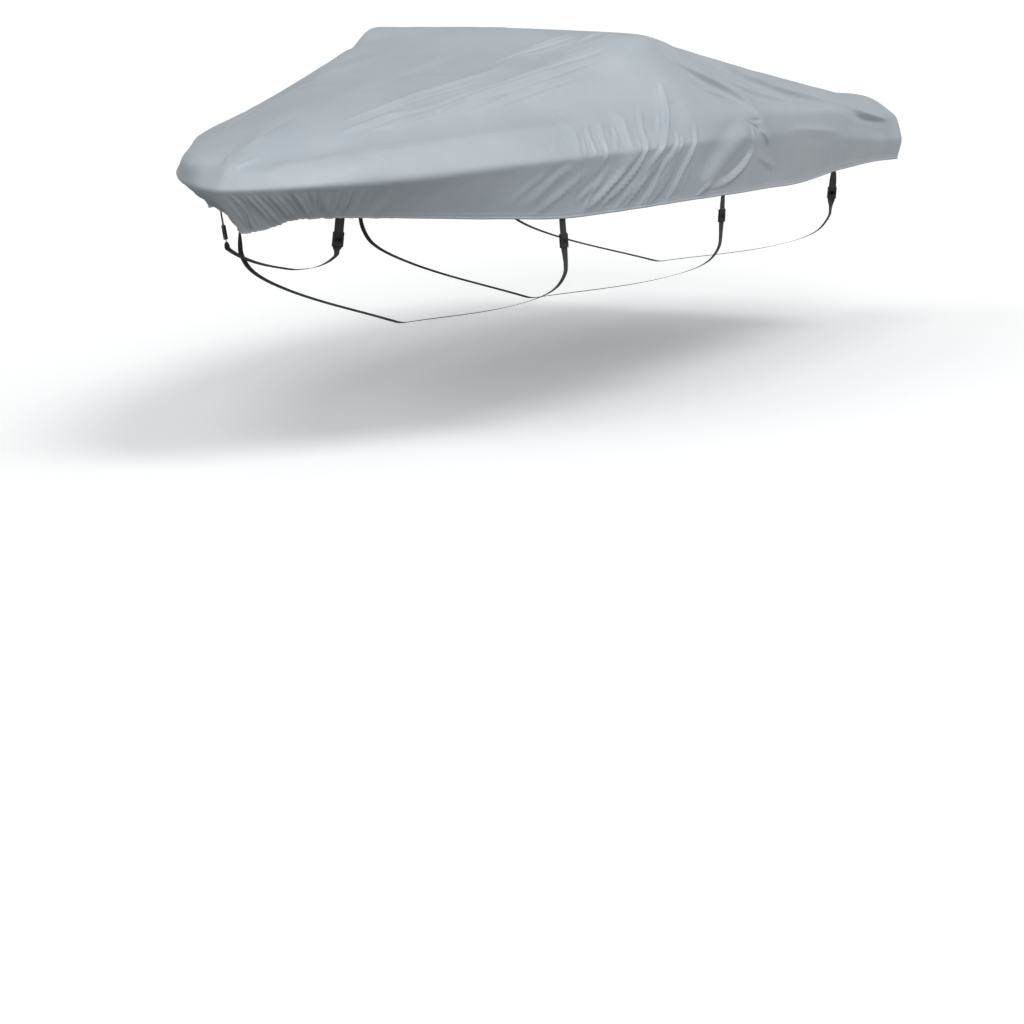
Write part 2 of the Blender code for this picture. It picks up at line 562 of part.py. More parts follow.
def build_strap(number, strap, ribs, inner, web, plastic):
    """One strap: on each side the webbing sewn inside the hem, the socket and the plug, and
    under the hull the webbing that joins the two plugs."""
    at, keel_x, fall, turn, hull = strap
    ends = []
    low = int(np.argmin(abs(ribs - (at - STRAP_CELL / 2))))
    upper_row = len(ROWS) - 2
    for side, face, label in ((-1, inner[0], "port"), (1, inner[1], "starboard")):
        cell = [Vector(face[low + i, upper_row + j]) for j in (0, 1) for i in (0, 1)]
        top, hem = (cell[0] + cell[1]) / 2, (cell[2] + cell[3]) / 2
        across = (cell[3] - cell[2]).normalized()
        down = (hem - top)
        down = (down - across * down.dot(across)).normalized()
        inward = down.cross(across) * side
        stand = max((corner - hem).dot(inward) for corner in cell) + TOUCH + WEB_THICK / 2
        sewn = hem + inward * stand
        below = sewn + down * HEM_CLEAR
        bearing = Vector((below.x, side * hull[0][0], hull[0][1]))
        fall_line = (bearing - below).normalized()
        buckle = below + fall_line * fall
        swing = math.radians(turn)
        faces_out = across.cross(fall_line).normalized() * side
        turned = across * math.cos(swing) + faces_out * math.sin(swing)
        turned = (turned - fall_line * turned.dot(fall_line)).normalized()
        out = turned.cross(fall_line)
        route = [sewn - down * WEB_TOP, sewn - down * WEB_TOP / 2, sewn]
        share = [0.0] * len(route)
        for step in range(FALL_STEPS + 1):
            share.append(step / FALL_STEPS)
            route.append(below + fall_line * (fall - TOUCH) * share[-1])
        widths = [across.lerp(turned, s) for s in share]
        ribbon(f"strap_{number}_{label}_web", route, widths, web)
        frame = (buckle, turned, fall_line, out)
        plate(f"strap_{number}_{label}_socket", socket_outline(), frame, plastic)
        plate(f"strap_{number}_{label}_plug", plug_outline(), frame, plastic)
        length = SOCKET_BLOCK + SOCKET_CORE + PLUG_BASE + 2 * TOUCH
        start = buckle + fall_line * length
        line = [start, bearing]
        for breadth, height in hull[1:]:
            share_in = 1 - breadth / hull[0][0]
            line.append(Vector((bearing.x + (keel_x - bearing.x) * share_in,
                                side * breadth, height)))
        ends.append(under_half(line, turned))
    (route, widths), (back, back_widths) = ends
    route += back[-2::-1]
    widths += back_widths[-2::-1]
    ribbon(f"strap_{number}_under_web", route, widths, web)


def build():
    for old in list(bpy.data.objects):
        bpy.data.objects.remove(old, do_unlink=True)
    cloth = material("cover_cloth", CLOTH_COLOUR, 0.55)
    web = material("strap_webbing", WEB_COLOUR, 0.75)
    plastic = material("buckle_plastic", BUCKLE_COLOUR, 0.35)
    ribs, seam = stations()
    outer, inner = sheet_faces(ribs, seam)
    build_cover(ribs, seam, outer, inner, cloth)
    for number, strap in enumerate(STRAPS, start=1):
        build_strap(number, strap, ribs, inner, web, plastic)


build()
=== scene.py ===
import math

import bmesh
import bpy
import numpy as np
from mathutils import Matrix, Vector


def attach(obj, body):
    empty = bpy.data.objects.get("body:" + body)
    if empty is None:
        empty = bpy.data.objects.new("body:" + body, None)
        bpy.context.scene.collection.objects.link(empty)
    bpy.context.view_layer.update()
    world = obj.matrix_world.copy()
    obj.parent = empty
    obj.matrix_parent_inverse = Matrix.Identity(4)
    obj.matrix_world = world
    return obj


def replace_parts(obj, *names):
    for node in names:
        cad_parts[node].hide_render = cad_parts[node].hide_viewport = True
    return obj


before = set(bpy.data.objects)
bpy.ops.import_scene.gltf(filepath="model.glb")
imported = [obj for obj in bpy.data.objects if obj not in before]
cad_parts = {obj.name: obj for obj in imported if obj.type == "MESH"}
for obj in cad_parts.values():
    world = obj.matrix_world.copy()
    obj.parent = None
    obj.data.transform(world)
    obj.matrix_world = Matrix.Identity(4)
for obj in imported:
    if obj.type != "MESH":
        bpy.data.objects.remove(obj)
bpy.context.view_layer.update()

# ---------------------------------------------------------------- camera, floor and lights
# A long lens from the port bow, a little above the sheet's hem, with a seamless pale studio
# floor and soft lamps.  The floor lies where the ground is under a boat on its trailer.
CAMERA_AT = (-10.997, -5.670, 0.309)
CAMERA_YAW = 62.93  # degrees from straight ahead of +Y towards +X
CAMERA_DIP = 11.98
CAMERA_LENS = 91.41
CAMERA_SENSOR = 36.0
CAMERA_REACH = 2000.0
FLOOR_Z = -1.711
FLOOR_REACH = 600.0
FLOOR_GLOW = 0.12
SKY_COLOUR = (0.96, 0.98, 1.0, 1.0)
SKY_STRENGTH = 0.288
LAMP_SPREAD = 25  # how wide a lamp looks from the cover, in degrees
LAMP_DISTANCE = 10
# Each lamp's azimuth and elevation in degrees, and its strength
LAMPS = {
    "sun_bow_starboard": (150, 38, 0.50),
    "sun_bow": (185, 60, 0.48),
    "sun_bow_low": (210, 22, 0.98),
    "sun_port_top": (265, 60, 0.89),
    "sun_port_high": (296, 42, 0.24),
    "sun_port_low": (265, 10, 0.22),
    "sun_port_aft": (315, 12, 0.23),
    "sun_aft": (338, 42, 0.07),
    "sun_starboard": (80, 25, 0.12),
}


def add_object(name, data):
    """A new object in the scene that holds the given data."""
    thing = bpy.data.objects.new(name, data)
    bpy.context.scene.collection.objects.link(thing)
    return thing


def set_inputs(node, inputs):
    """Give a node's inputs their values, or link them to the outputs that are given."""
    for key, value in inputs.items():
        if isinstance(value, bpy.types.NodeSocket):
            node.id_data.links.new(value, node.inputs[key])
        else:
            node.inputs[key].default_value = value


camera_data = bpy.data.cameras.new("camera")
camera_data.lens = CAMERA_LENS
camera_data.sensor_width = CAMERA_SENSOR
camera_data.clip_end = CAMERA_REACH
camera = add_object("camera", camera_data)
camera.location = CAMERA_AT
camera.rotation_euler = (math.radians(90 - CAMERA_DIP), 0, math.radians(-CAMERA_YAW))
bpy.context.scene.camera = camera
bpy.context.scene.view_settings.view_transform = "Standard"
bpy.context.scene.view_settings.look = "None"

for name, (azimuth, elevation, strength) in LAMPS.items():
    lamp_data = bpy.data.lights.new(name, "SUN")
    lamp_data.angle = math.radians(LAMP_SPREAD)
    lamp_data.energy = strength
    lamp = add_object(name, lamp_data)
    az, el = math.radians(azimuth), math.radians(elevation)
    place = Vector((math.cos(az) * math.cos(el), math.sin(az) * math.cos(el), math.sin(el)))
    lamp.location = place * LAMP_DISTANCE
    lamp.rotation_euler = (-place).to_track_quat("-Z", "Y").to_euler()

world = bpy.data.worlds.new("studio")
bpy.context.scene.world = world
world.use_nodes = True
set_inputs(world.node_tree.nodes["Background"], {"Color": SKY_COLOUR, "Strength": SKY_STRENGTH})


def plain_finish(name, colour, roughness):
    """A material with a bare shader, and the shader."""
    finish = bpy.data.materials.new(name)
    finish.use_nodes = True
    shader = finish.node_tree.nodes["Principled BSDF"]
    set_inputs(shader, {"Base Color": (*colour, 1.0), "Roughness": roughness})
    return finish, shader


def make_piece(name, bm, finish, slot=None, sharp=40):
    """Turn a bmesh into a piece about the origin.  One with a slot rides with the frame."""
    mesh = bpy.data.meshes.new(name)
    bm.to_mesh(mesh)
    bm.free()
    mesh.materials.append(finish)
    mesh.shade_smooth()
    mesh.set_sharp_from_angle(angle=math.radians(sharp))
    piece = add_object(name, mesh)
    if slot:
        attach(piece, "root")
    return piece


floor_mesh = bmesh.new()
bmesh.ops.create_grid(floor_mesh, x_segments=1, y_segments=1, size=FLOOR_REACH)
bmesh.ops.translate(floor_mesh, verts=floor_mesh.verts, vec=(0, 0, FLOOR_Z))
floor_finish, floor_shader = plain_finish("studio_floor", (0.97, 0.97, 0.97), 0.8)
set_inputs(floor_shader, {"Emission Color": (1, 1, 1, 1), "Emission Strength": FLOOR_GLOW})
floor = make_piece("studio_floor", floor_mesh, floor_finish)
floor.visible_diffuse = False
floor.visible_glossy = False

# ---------------------------------------------------------------- the cover's two cloth panels
# The sheet is cut from silver-grey coated polyester in two panels, sewn across the foredeck.
# It hangs from the windshield to the bow, the sides and the stern, breaks over the deck edge
# and the gunwale, and ends in a skirt with a turned-up hem.
LENGTH = 5.36
HALF_BEAM = 1.034
WIDEST_AT = 2.969
TRANSOM_HALF = 0.999
TRANSOM_CORNER = 0.08
BOW_FULLNESS = 2.321
BOW_BLUNTNESS = 1.537
PLAN_STEPS = (4000, 60, 41)  # along the side, round the stern's corner and across it
PLAN_CROWDING = 2.2  # how much closer the side's steps lie at the bow tip
STARBOARD_SPREAD = 1.025
STARBOARD_LIFT = 0.012
# The starboard ridge dips by the windshield: how deep, how far round and over what half width
STARBOARD_HOLLOW = 0.038
HOLLOW_AT = 2.62
HOLLOW_HALF = 0.15
SHEET_ORIGIN = np.array((2.437, 0.0, 1.711))
SHEER = np.array([(-0.1, 1.132), (0, 1.137), (0.5, 1.162), (1.2, 1.199), (2.2, 1.216),
                  (3.2, 1.198), (4.2, 1.13), (5.31, 1.054), (5.5, 1.05)])
# Ribs: distance round the gunwale; spine x and height; the ridge's share of the way out, its
# height and softness; the deck edge's inset and rise; the hem's drop and tuck
RIBS = np.array([
    (0, 0.34, 1.35, 0.55, 1.265, 0.3, 0, 0.1, 0.182, 0.18),
    (0.18, 0.38, 1.36, 0.515, 1.278, 0.3, 0.003, 0.107, 0.176, 0.189),
    (0.37, 0.44, 1.375, 0.48, 1.305, 0.3, 0.01, 0.115, 0.14, 0.19),
    (0.7, 0.6, 1.412, 0.43, 1.364, 0.3, 0.08, 0.13, 0.158, 0.155),
    (1, 0.82, 1.445, 0.42, 1.408, 0.3, 0.1, 0.13, 0.189, 0.115),
    (1.29, 1.05, 1.475, 0.44, 1.45, 0.3, 0.115, 0.13, 0.223, 0.09),
    (1.81, 1.52, 1.537, 0.52, 1.522, 0.25, 0.12, 0.13, 0.264, 0.06),
    (2.42, 2.1, 1.632, 0.635, 1.612, 0.15, 0.1, 0.116, 0.268, 0.05),
    (2.76, 2.437, 1.716, 0.69, 1.702, 0.06, 0.038, 0.108, 0.267, 0.045),
    (3.2, 2.86, 1.64, 0.71, 1.638, 0.1, 0.018, 0.104, 0.266, 0.04),
    (3.85, 3.48, 1.535, 0.74, 1.538, 0.15, 0.015, 0.11, 0.253, 0.04),
    (4.72, 4.3, 1.4, 0.8, 1.404, 0.15, 0.018, 0.139, 0.163, 0.035),
    (5.42, 4.85, 1.318, 0.86, 1.316, 0.12, 0.028, 0.132, 0.11, 0.025),
    (5.7, 4.95, 1.312, 0.8, 1.312, 0.12, 0.035, 0.13, 0.108, 0.02),
    (6.65, 5, 1.312, 0.6, 1.307, 0.12, 0.05, 0.13, 0.118, 0.02),
])
SPINE_SOFT = 0.30
DECK_SOFT = 0.022
# The deck edge is rounder on the starboard bow, between these distances round
DECK_SOFT_BOW = 0.085
BOW_SOFT_FROM = (0.12, 0.34)
BOW_SOFT_TO = (0.40, 0.85)
RIDGE_SOFT_STARBOARD = 0.4  # the starboard ridge is this much sharper
# The two ridges part between these distances round, and meet over one before the stern's middle
SIDES_PART = (0.8, 2.2)
SIDES_MEET = 0.8
GUNWALE_SOFT = 0.018
BEND_ZONE = 0.25  # part of a row on each side of a corner that its bend takes up
MOST_SOFT = 0.46  # the most of a straight that a bend may use
SEAM_AT = 1.79
WINDSHIELD_AT = 2.76
SEAM_DRIFT_PORT = 0.125
SEAM_DRIFT_STARBOARD = -0.25

# Broad folds of the port side: start and end as (distance round, distance up from the gunwale),
# sideways bow, half width, height, share that fades in and out
FOLDS = [
    (0.8, 0.44, 2.6, 0.86, 0, 0.05, 0.008, 0.35, 0.2),
    (0.64, 0.33, 2.72, 0.65, 0.012, 0.045, 0.008, 0.3, 0.12),
    (1.4, 0.34, 2.6, 0.56, 0, 0.045, 0.007, 0.35, 0.15),
    (1.3, 0.25, 2.45, 0.47, 0, 0.05, 0.006, 0.35, 0.25),
    (0.11, 0, 0.3, -0.26, 0, 0.022, 0.009, 0.35, 0),
    (0.21, 0, 0.38, -0.27, 0, 0.022, 0.011, 0.35, 0),
    (0.31, 0, 0.46, -0.28, 0, 0.022, 0.011, 0.35, 0),
    (0.42, -0.02, 0.54, -0.28, 0, 0.022, 0.009, 0.4, 0),
    (0.76, -0.04, 0.72, -0.26, 0, 0.03, 0.007, 0.4, 0),
    (2.24, 0.02, 1.78, -0.3, 0.01, 0.045, 0.008, 0.25, 0.1),
    (2.42, 0.02, 2.06, -0.32, 0.012, 0.045, 0.008, 0.25, 0.05),
    (2.62, 0.05, 2.26, -0.32, 0.012, 0.042, 0.008, 0.25, 0.05),
    (2.72, 0.03, 2.48, -0.32, 0.006, 0.04, 0.006, 0.25, 0.05),
    (1.88, 0.19, 1.75, 0, 0, 0.035, 0.004, 0.3, 0.2),
    (2.1, 0.2, 1.95, 0, 0, 0.035, 0.005, 0.3, 0.2),
    (2.28, 0.22, 2.12, 0, 0, 0.035, 0.005, 0.3, 0.2),
    (2.72, 0.34, 2.42, -0.02, 0.015, 0.038, 0.006, 0.3, 0.15),
    (3.38, 0.04, 2.8, -0.27, -0.055, 0.055, 0.013, 0.25, 0.15),
    (3.46, 0.11, 3.56, -0.06, 0, 0.04, 0.005, 0.3, 0.3),
    (2.9, 0.56, 3.52, 0.12, 0, 0.055, 0.01, 0.2, 0.15),
    (3.3, 0.47, 4.5, 0.2, 0.015, 0.06, 0.01, 0.25, 0.25),
    (3.45, 0.5, 5.3, 0.24, 0, 0.06, 0.008, 0.25, 0.25),
    (4.85, 0.21, 5.46, 0.08, 0, 0.045, 0.008, 0.3, 0.25),
    (5.6, 0.16, 5.64, -0.14, 0, 0.045, 0.007, 0.3, 0),
    (6, 0.1, 5.92, -0.16, 0, 0.06, 0.007, 0.4, 0),
]
# Where the foredeck sags between them, on the port side alone
SAGS = [
    (0.3, 0.2, 2.05, 0.36, 0, 0.11, -0.024, 0.3, 0.3),
    (0.05, 0.17, 0.8, 0.2, 0, 0.07, -0.014, 0.25, 0.3),
]
# Sharper creases on top of them: half width, height (less than 0 for a furrow) and the points
# that the crease runs through
CREASES = [
    # strained from the windshield's corner down the foredeck: ridges
    (0.011, 0.0093, (0.77, 0.414), (0.92, 0.466), (1.17, 0.537), (1.43, 0.601), (1.74, 0.663),
     (2.07, 0.72)),
    (0.011, 0.0085, (0.67, 0.316), (0.76, 0.35), (0.87, 0.375), (1.04, 0.421), (1.2, 0.448)),
    (0.0085, 0.0051, (0.86, 0.332), (1, 0.36)),
    (0.0093, 0.0076, (1.03, 0.342), (1.16, 0.378), (1.3, 0.395)),
    (0.0085, 0.0059, (1.3, 0.408), (1.45, 0.442), (1.56, 0.46)),
    (0.011, 0.0076, (1.44, 0.378), (1.68, 0.416), (1.96, 0.467), (2.14, 0.488)),
    (0.0093, 0.0093, (2.12, 0.815), (2.35, 0.85), (2.47, 0.84), (2.66, 0.805)),
    (0.0085, 0.0076, (2.36, 0.894), (2.52, 0.88), (2.68, 0.848)),
    (0.0085, 0.0076, (2.56, 0.733), (2.74, 0.745)),
    (0.0136, 0.0051, (0.45, 0.14), (0.75, 0.19), (1.1, 0.2)),
    # and furrows between them
    (0.0093, -0.0088, (0.78, 0.37), (0.9, 0.411), (1.18, 0.499), (1.49, 0.565), (1.8, 0.613)),
    (0.0102, -0.0112, (0.9, 0.355), (1.08, 0.403), (1.35, 0.445), (1.69, 0.525), (2, 0.56),
     (2.25, 0.569), (2.6, 0.558)),
    (0.0093, -0.0096, (1.58, 0.448), (1.86, 0.47), (2.17, 0.5), (2.47, 0.513)),
    (0.0085, -0.008, (1.66, 0.388), (1.93, 0.421), (2.2, 0.44)),
    (0.0085, -0.0088, (2.1, 0.77), (2.3, 0.792), (2.46, 0.772), (2.62, 0.738)),
    (0.0085, -0.008, (2.36, 0.655), (2.5, 0.664), (2.58, 0.655), (2.74, 0.664)),
    # puckers above the gunwale amidships
    (0.0077, 0.0081, (1.98, 0.18), (1.91, 0.101), (1.885, 0.048), (1.865, -0.012)),
    (0.0077, 0.0088, (2.06, 0.165), (1.98, 0.071), (1.96, 0.025), (1.945, -0.01), (1.91, -0.04)),
    (0.0077, 0.0065, (1.83, 0.13), (1.79, 0.058), (1.76, 0)),
    (0.0068, 0.0056, (1.86, 0.095), (1.79, 0.002)),
    (0.0086, 0.0072, (2.13, 0.12), (2.01, 0.002)),
    (0.0077, 0.0065, (2.24, 0.17), (2.19, 0.098), (2.14, 0.012)),
    (0.0068, 0.0048, (1.77, 0.115), (1.72, 0.028)),
    (0.0068, 0.0056, (2.24, 0.05), (2.19, -0.028)),
    (0.0068, 0.0048, (2.14, 0.15), (2.07, 0.035)),
    (0.0068, 0.0048, (1.92, 0.14), (1.84, 0.025)),
    (0.0086, 0.0088, (2.45, 0.22), (2.34, 0.121), (2.3, 0.064), (2.26, 0.01)),
    (0.0077, 0.0056, (2.52, 0.15), (2.44, 0.075), (2.38, 0.01)),
    (0.0068, 0.0048, (1.64, 0.085), (1.6, 0.01)),
    # slanting down the skirt amidships
    (0.0085, 0.0178, (2.68, 0.32), (2.6, 0.187), (2.55, 0.13), (2.46, 0.049), (2.39, -0.004),
     (2.33, -0.047), (2.26, -0.12)),
    (0.0085, 0.0151, (2.59, 0.07), (2.52, -0.003), (2.43, -0.085), (2.38, -0.149), (2.32, -0.209),
     (2.27, -0.275)),
    (0.0068, 0.0094, (2.62, 0.05), (2.53, -0.023), (2.45, -0.085)),
    (0.0077, 0.0113, (2.4, -0.065), (2.31, -0.113), (2.245, -0.161), (2.18, -0.215),
     (2.14, -0.28)),
    (0.0085, 0.0141, (2.75, 0.08), (2.69, 0), (2.64, -0.07), (2.6, -0.123), (2.56, -0.183),
     (2.5, -0.265)),
    (0.0068, 0.0075, (2.69, -0.1), (2.64, -0.186), (2.63, -0.245)),
    (0.0111, 0.0178, (2.33, 0.06), (2.25, -0.007), (2.21, -0.065), (2.15, -0.119), (2.07, -0.173),
     (1.99, -0.215), (1.95, -0.265)),
    (0.0077, 0.0104, (2.24, -0.135), (2.14, -0.203), (2.06, -0.27)),
    (0.0103, 0.0132, (1.99, -0.055), (1.91, -0.124), (1.84, -0.165), (1.77, -0.21)),
    (0.0077, 0.0104, (1.98, -0.1), (1.89, -0.16), (1.86, -0.2), (1.84, -0.27)),
    (0.0103, 0.0132, (2.1, -0.075), (2, -0.14), (1.94, -0.184), (1.85, -0.245)),
    (0.012, 0.0122, (1.71, -0.03), (1.59, -0.095), (1.54, -0.135), (1.47, -0.19)),
    (0.0111, 0.0122, (1.81, -0.07), (1.68, -0.146), (1.6, -0.195), (1.52, -0.25)),
    (0.0068, 0.0086, (2.4, -0.155), (2.33, -0.221), (2.31, -0.28)),
    (0.0077, 0.0104, (2.53, -0.1), (2.43, -0.2), (2.34, -0.26)),
    (0.0103, 0.0067, (1.56, -0.05), (1.44, -0.12), (1.37, -0.18)),
    (0.0077, -0.0086, (2.2, -0.03), (2.1, -0.1), (2.02, -0.16), (1.92, -0.23)),
    (0.0077, -0.0075, (2.47, -0.06), (2.35, -0.17), (2.24, -0.25)),
    # drawn down to the third strap, with a curl at the hem
    (0.012, 0.0186, (3.35, 0.06), (3.345, -0.01), (3.35, -0.06), (3.3, -0.115), (3.22, -0.16),
     (3.11, -0.2), (2.93, -0.23)),
    (0.0077, 0.0126, (2.91, -0.195), (2.85, -0.222), (2.79, -0.258)),
    (0.0077, 0.0101, (3.39, 0.065), (3.44, 0.027), (3.49, 0.003), (3.57, -0.045)),
    (0.0077, -0.0076, (3.29, 0.068), (3.4, 0.045), (3.47, 0.01), (3.53, -0.02)),
    (0.0103, 0.0076, (3.43, -0.09), (3.57, -0.132), (3.71, -0.165)),
    (0.0068, -0.0051, (3.33, 0.08), (3.47, 0.073)),
    # fanned aft from the windshield's corner
    (0.0121, 0.0216, (2.88, 0.46), (2.98, 0.396), (3.12, 0.33), (3.24, 0.275), (3.35, 0.216),
     (3.46, 0.14)),
    (0.0104, -0.0157, (2.94, 0.3), (3.07, 0.247), (3.22, 0.213), (3.35, 0.149), (3.46, 0.115)),
    (0.0097, -0.0108, (3.04, 0.405), (3.21, 0.33), (3.36, 0.268), (3.5, 0.2)),
    (0.0129, 0.0216, (3.3, 0.49), (3.41, 0.449), (3.53, 0.413), (3.69, 0.353), (3.88, 0.31),
     (4.07, 0.265), (4.29, 0.233), (4.72, 0.2)),
    (0.0121, 0.0157, (3.06, 0.46), (3.16, 0.423), (3.32, 0.358), (3.44, 0.293), (3.59, 0.24),
     (3.73, 0.214), (4.02, 0.19)),
    (0.0129, -0.0118, (3.27, 0.435), (3.47, 0.365), (3.62, 0.305), (3.8, 0.262), (4.05, 0.225)),
    (0.0129, 0.0157, (4.5, 0.21), (4.65, 0.195), (4.82, 0.171), (4.98, 0.138), (5.26, 0.117),
     (5.42, 0.11)),
    (0.013, -0.005, (4.58, 0.142), (4.86, 0.115), (5.08, 0.099), (5.4, 0.095)),
    (0.012, -0.004, (4.75, 0.192), (5.1, 0.182)),
    (0.0162, 0.0078, (5.38, 0.3), (5.46, 0.24), (5.51, 0.15)),
    (0.0194, 0.0069, (3.78, 0.022), (4.18, 0.032), (4.6, 0.03)),
    # at the fitting on the bow
    (0.016, 0.006, (0.04, 0.112), (0.15, 0.209)),
]
# Pleats gathered into the hem round the bow, from the gunwale down: where each starts and ends
PLEATS = [(0.005, 0.06), (0.037, 0.141), (0.067, 0.207), (0.096, 0.244), (0.126, 0.274),
          (0.155, 0.303), (0.185, 0.333), (0.215, 0.362), (0.251, 0.392), (0.288, 0.422),
          (0.333, 0.444), (0.377, 0.459), (0.414, 0.473), (0.451, 0.503), (0.496, 0.525),
          (0.555, 0.57), (0.607, 0.621), (0.658, 0.673), (0.754, 0.732), (0.84, 0.8), (0.93, 0.88),
          (1.03, 0.97), (1.15, 1.07)]
PLEAT_WIDTH = 0.008
PLEAT_HEIGHT = 0.0078
PLEAT_DROP = 0.225
PLEAT_FADE_FROM = 14  # the pleats abaft this one grow fainter
BOW_FITTING = (0.115, 0.055, 0.007)  # bump at the bow tip: its place up, radius and height
# The starboard hem is drawn up and in at the bow, between these distances round
BOW_HEM_UP = 0.025
BOW_HEM_IN = 0.010
BOW_HEM_FROM = (0.0, 0.12)
BOW_HEM_TO = (0.45, 1.00)
# The deck edge at the bow lies further in and down, up to these distances round; abaft the
# bow's fitting it slides down the port band
BOW_BAND_IN = 0.070
BOW_BAND_DOWN = 0.014
BOW_BAND_TO_PORT = (0.35, 0.75)
BOW_BAND_TO_STARBOARD = (0.06, 0.28)
BOW_DIP_FROM = (0.040, 0.080)
BOW_DIP_TO = (0.18, 0.31)
BOW_DIP_DOWN = 0.026
BOW_DIP_OUT = 0.026
# On the starboard side the folds lie further forward and the creases lower, and all are fainter
STARBOARD_SHIFT = -0.06
STARBOARD_LOW = 1.06
STARBOARD_FOLDS = 0.55
STARBOARD_CREASES = 0.50
STARBOARD_END = (0.35, 0.60)
PLEATS_SHIFT = 0.011
STARBOARD_PLEATS = 0.9
CRUMPLE_HEIGHT = 0.0011
MIDLINE_CALM = 0.06  # all relief fades out this near to the bow tip and the stern's middle
SPINE_CALM = 0.25  # and on this share of the way from the spine to the ridge
LEE = 0.45  # depth of the hollow beside a fold, and how far off it lies
LEE_AT = 1.8
SHEET_WALL = 0.0004
HEM_DEPTH = 0.026  # cloth turned up at the hem and sewn down
HEM_STEP = 0.0009
HEM_EDGE = (HEM_DEPTH - 0.002, HEM_DEPTH + 0.001)
HEM_CALM = 0.30  # share of a fold's height that is left at the drawn hem
HEM_CALM_TO = 0.075  # how far above the hem it is all there
CORD_RADIUS = 0.0032  # drawcord in the hem
CORD_UP = 0.005
CORD_SPREAD = 0.0045
SEAM_LAP = 0.012
SEAM_STEP = 0.0004  # the fore panel lies this much lower under the lap
LAP_RISE = 0.00008
ROW_COUNT = 190
RAIL_ROW = 3.0
FACE_TRIANGLES = 96000  # on each face of a panel
SEAM_RIBS = 5  # ribs from the seam that are never thinned out
MERGE = 0.00005


def monotone(x, xs, ys):
    """Smooth curve through table points that never overshoots them."""
    h = np.diff(xs)
    slope = np.diff(ys) / h
    tangent = np.zeros_like(ys)
    w1 = 2 * h[1:] + h[:-1]
    w2 = h[1:] + 2 * h[:-1]
    with np.errstate(divide="ignore", invalid="ignore"):
        inner = (w1 + w2) / (w1 / slope[:-1] + w2 / slope[1:])
    tangent[1:-1] = np.where(slope[:-1] * slope[1:] > 0, inner, 0.0)
    tangent[0] = slope[0]
    tangent[-1] = slope[-1]
    x = np.clip(x, xs[0], xs[-1])
    k = np.clip(np.searchsorted(xs, x, side="right") - 1, 0, len(h) - 1)
    t = (x - xs[k]) / h[k]
    return (ys[k] * (1 + 2 * t) * (1 - t) ** 2 + tangent[k] * h[k] * t * (1 - t) ** 2
            + ys[k + 1] * t * t * (3 - 2 * t) + tangent[k + 1] * h[k] * t * t * (t - 1))


def ease(value, low, high):
    """Smooth step from 0 at low to 1 at high."""
    t = np.clip((value - low) / (high - low), 0, 1)
    return t * t * (3 - 2 * t)


def between(value, start, end):
    """1 between two stretches, and 0 outside them."""
    return ease(value, *start) * (1 - ease(value, *end))


def swell(offset, width):
    """Round swell, 1 high in its middle."""
    return np.exp(-(offset / width) ** 2)


def unit(vectors):
    """The directions of vectors."""
    return vectors / np.linalg.norm(vectors, axis=-1, keepdims=True)


def run_along(points):
    """Distance of each point along the line through them."""
    return np.concatenate([[0.0], np.cumsum(np.linalg.norm(np.diff(points, axis=0), axis=1))])


def run_across(grid):
    """Distance of each point of a grid along its own rib."""
    steps = np.linalg.norm(np.diff(grid, axis=1), axis=-1)
    return np.concatenate([np.zeros((len(grid), 1)), np.cumsum(steps, 1)], 1)


def places_on(fine, at, points, curve=monotone):
    """Places at some distances along a line, from points at other ones."""
    return np.stack([curve(fine, at, points[:, k]) for k in range(points.shape[1])], 1)


def trace_plan():
    """Half of the gunwale's plan in fine steps: distance round it, and the points."""
    side_steps, corner_steps, transom_steps = PLAN_STEPS
    x = (LENGTH - TRANSOM_CORNER) * np.linspace(0, 1, side_steps) ** PLAN_CROWDING
    forward = 1 - (1 - np.clip(x / WIDEST_AT, 0, 1)) ** BOW_FULLNESS
    aft = np.clip((x - WIDEST_AT) / (LENGTH - WIDEST_AT), 0, 1)
    breadth = (HALF_BEAM * forward ** (1 / BOW_BLUNTNESS)
               - (HALF_BEAM - TRANSOM_HALF) * aft ** 2)
    turn = np.linspace(0, math.pi / 2, corner_steps)[1:]
    corner_y = breadth[-1] - TRANSOM_CORNER
    across = np.linspace(corner_y, 0, transom_steps)[1:]
    plan = np.stack([
        [*x, *(LENGTH - TRANSOM_CORNER + TRANSOM_CORNER * np.sin(turn)), *(LENGTH + 0 * across)],
        [*breadth, *(corner_y + TRANSOM_CORNER * np.cos(turn)), *across]], 1)
    steps = np.hypot(*np.diff(plan, axis=0).T)
    return np.concatenate([[0.0], np.cumsum(steps)]), plan


ROUND, PLAN = trace_plan()
HALF_ROUND = ROUND[-1]


def plan_at(along):
    """Plan point at a distance round the port or starboard half, as x and breadth."""
    return np.interp(along, ROUND, PLAN[:, 0]), np.interp(along, ROUND, PLAN[:, 1])


def gunwale(along, side):
    """Gunwale points of one side, which is -1 for port and 1 for starboard."""
    x, breadth = plan_at(along)
    spread = STARBOARD_SPREAD if side > 0 else 1.0
    return np.stack([x, side * spread * breadth, monotone(x, SHEER[:, 0], SHEER[:, 1])], -1)


def outward(along, side):
    """Plan direction that points away from the boat."""
    step, turn = 0.004, 0.12
    inside = np.clip(along, step, HALF_ROUND - step)
    x0, y0 = plan_at(inside - step)
    x1, y1 = plan_at(inside + step)
    run = np.hypot(x1 - x0, y1 - y0)
    off_bow = np.clip(along / turn, 0, 1)
    off_stern = np.clip((HALF_ROUND - along) / turn, 0, 1)
    nx = -(y1 - y0) / run * off_bow - (1 - off_bow)
    ny = side * (x1 - x0) / run * off_bow * off_stern
    return np.stack([nx, ny], -1) / np.hypot(nx, ny)[..., None]


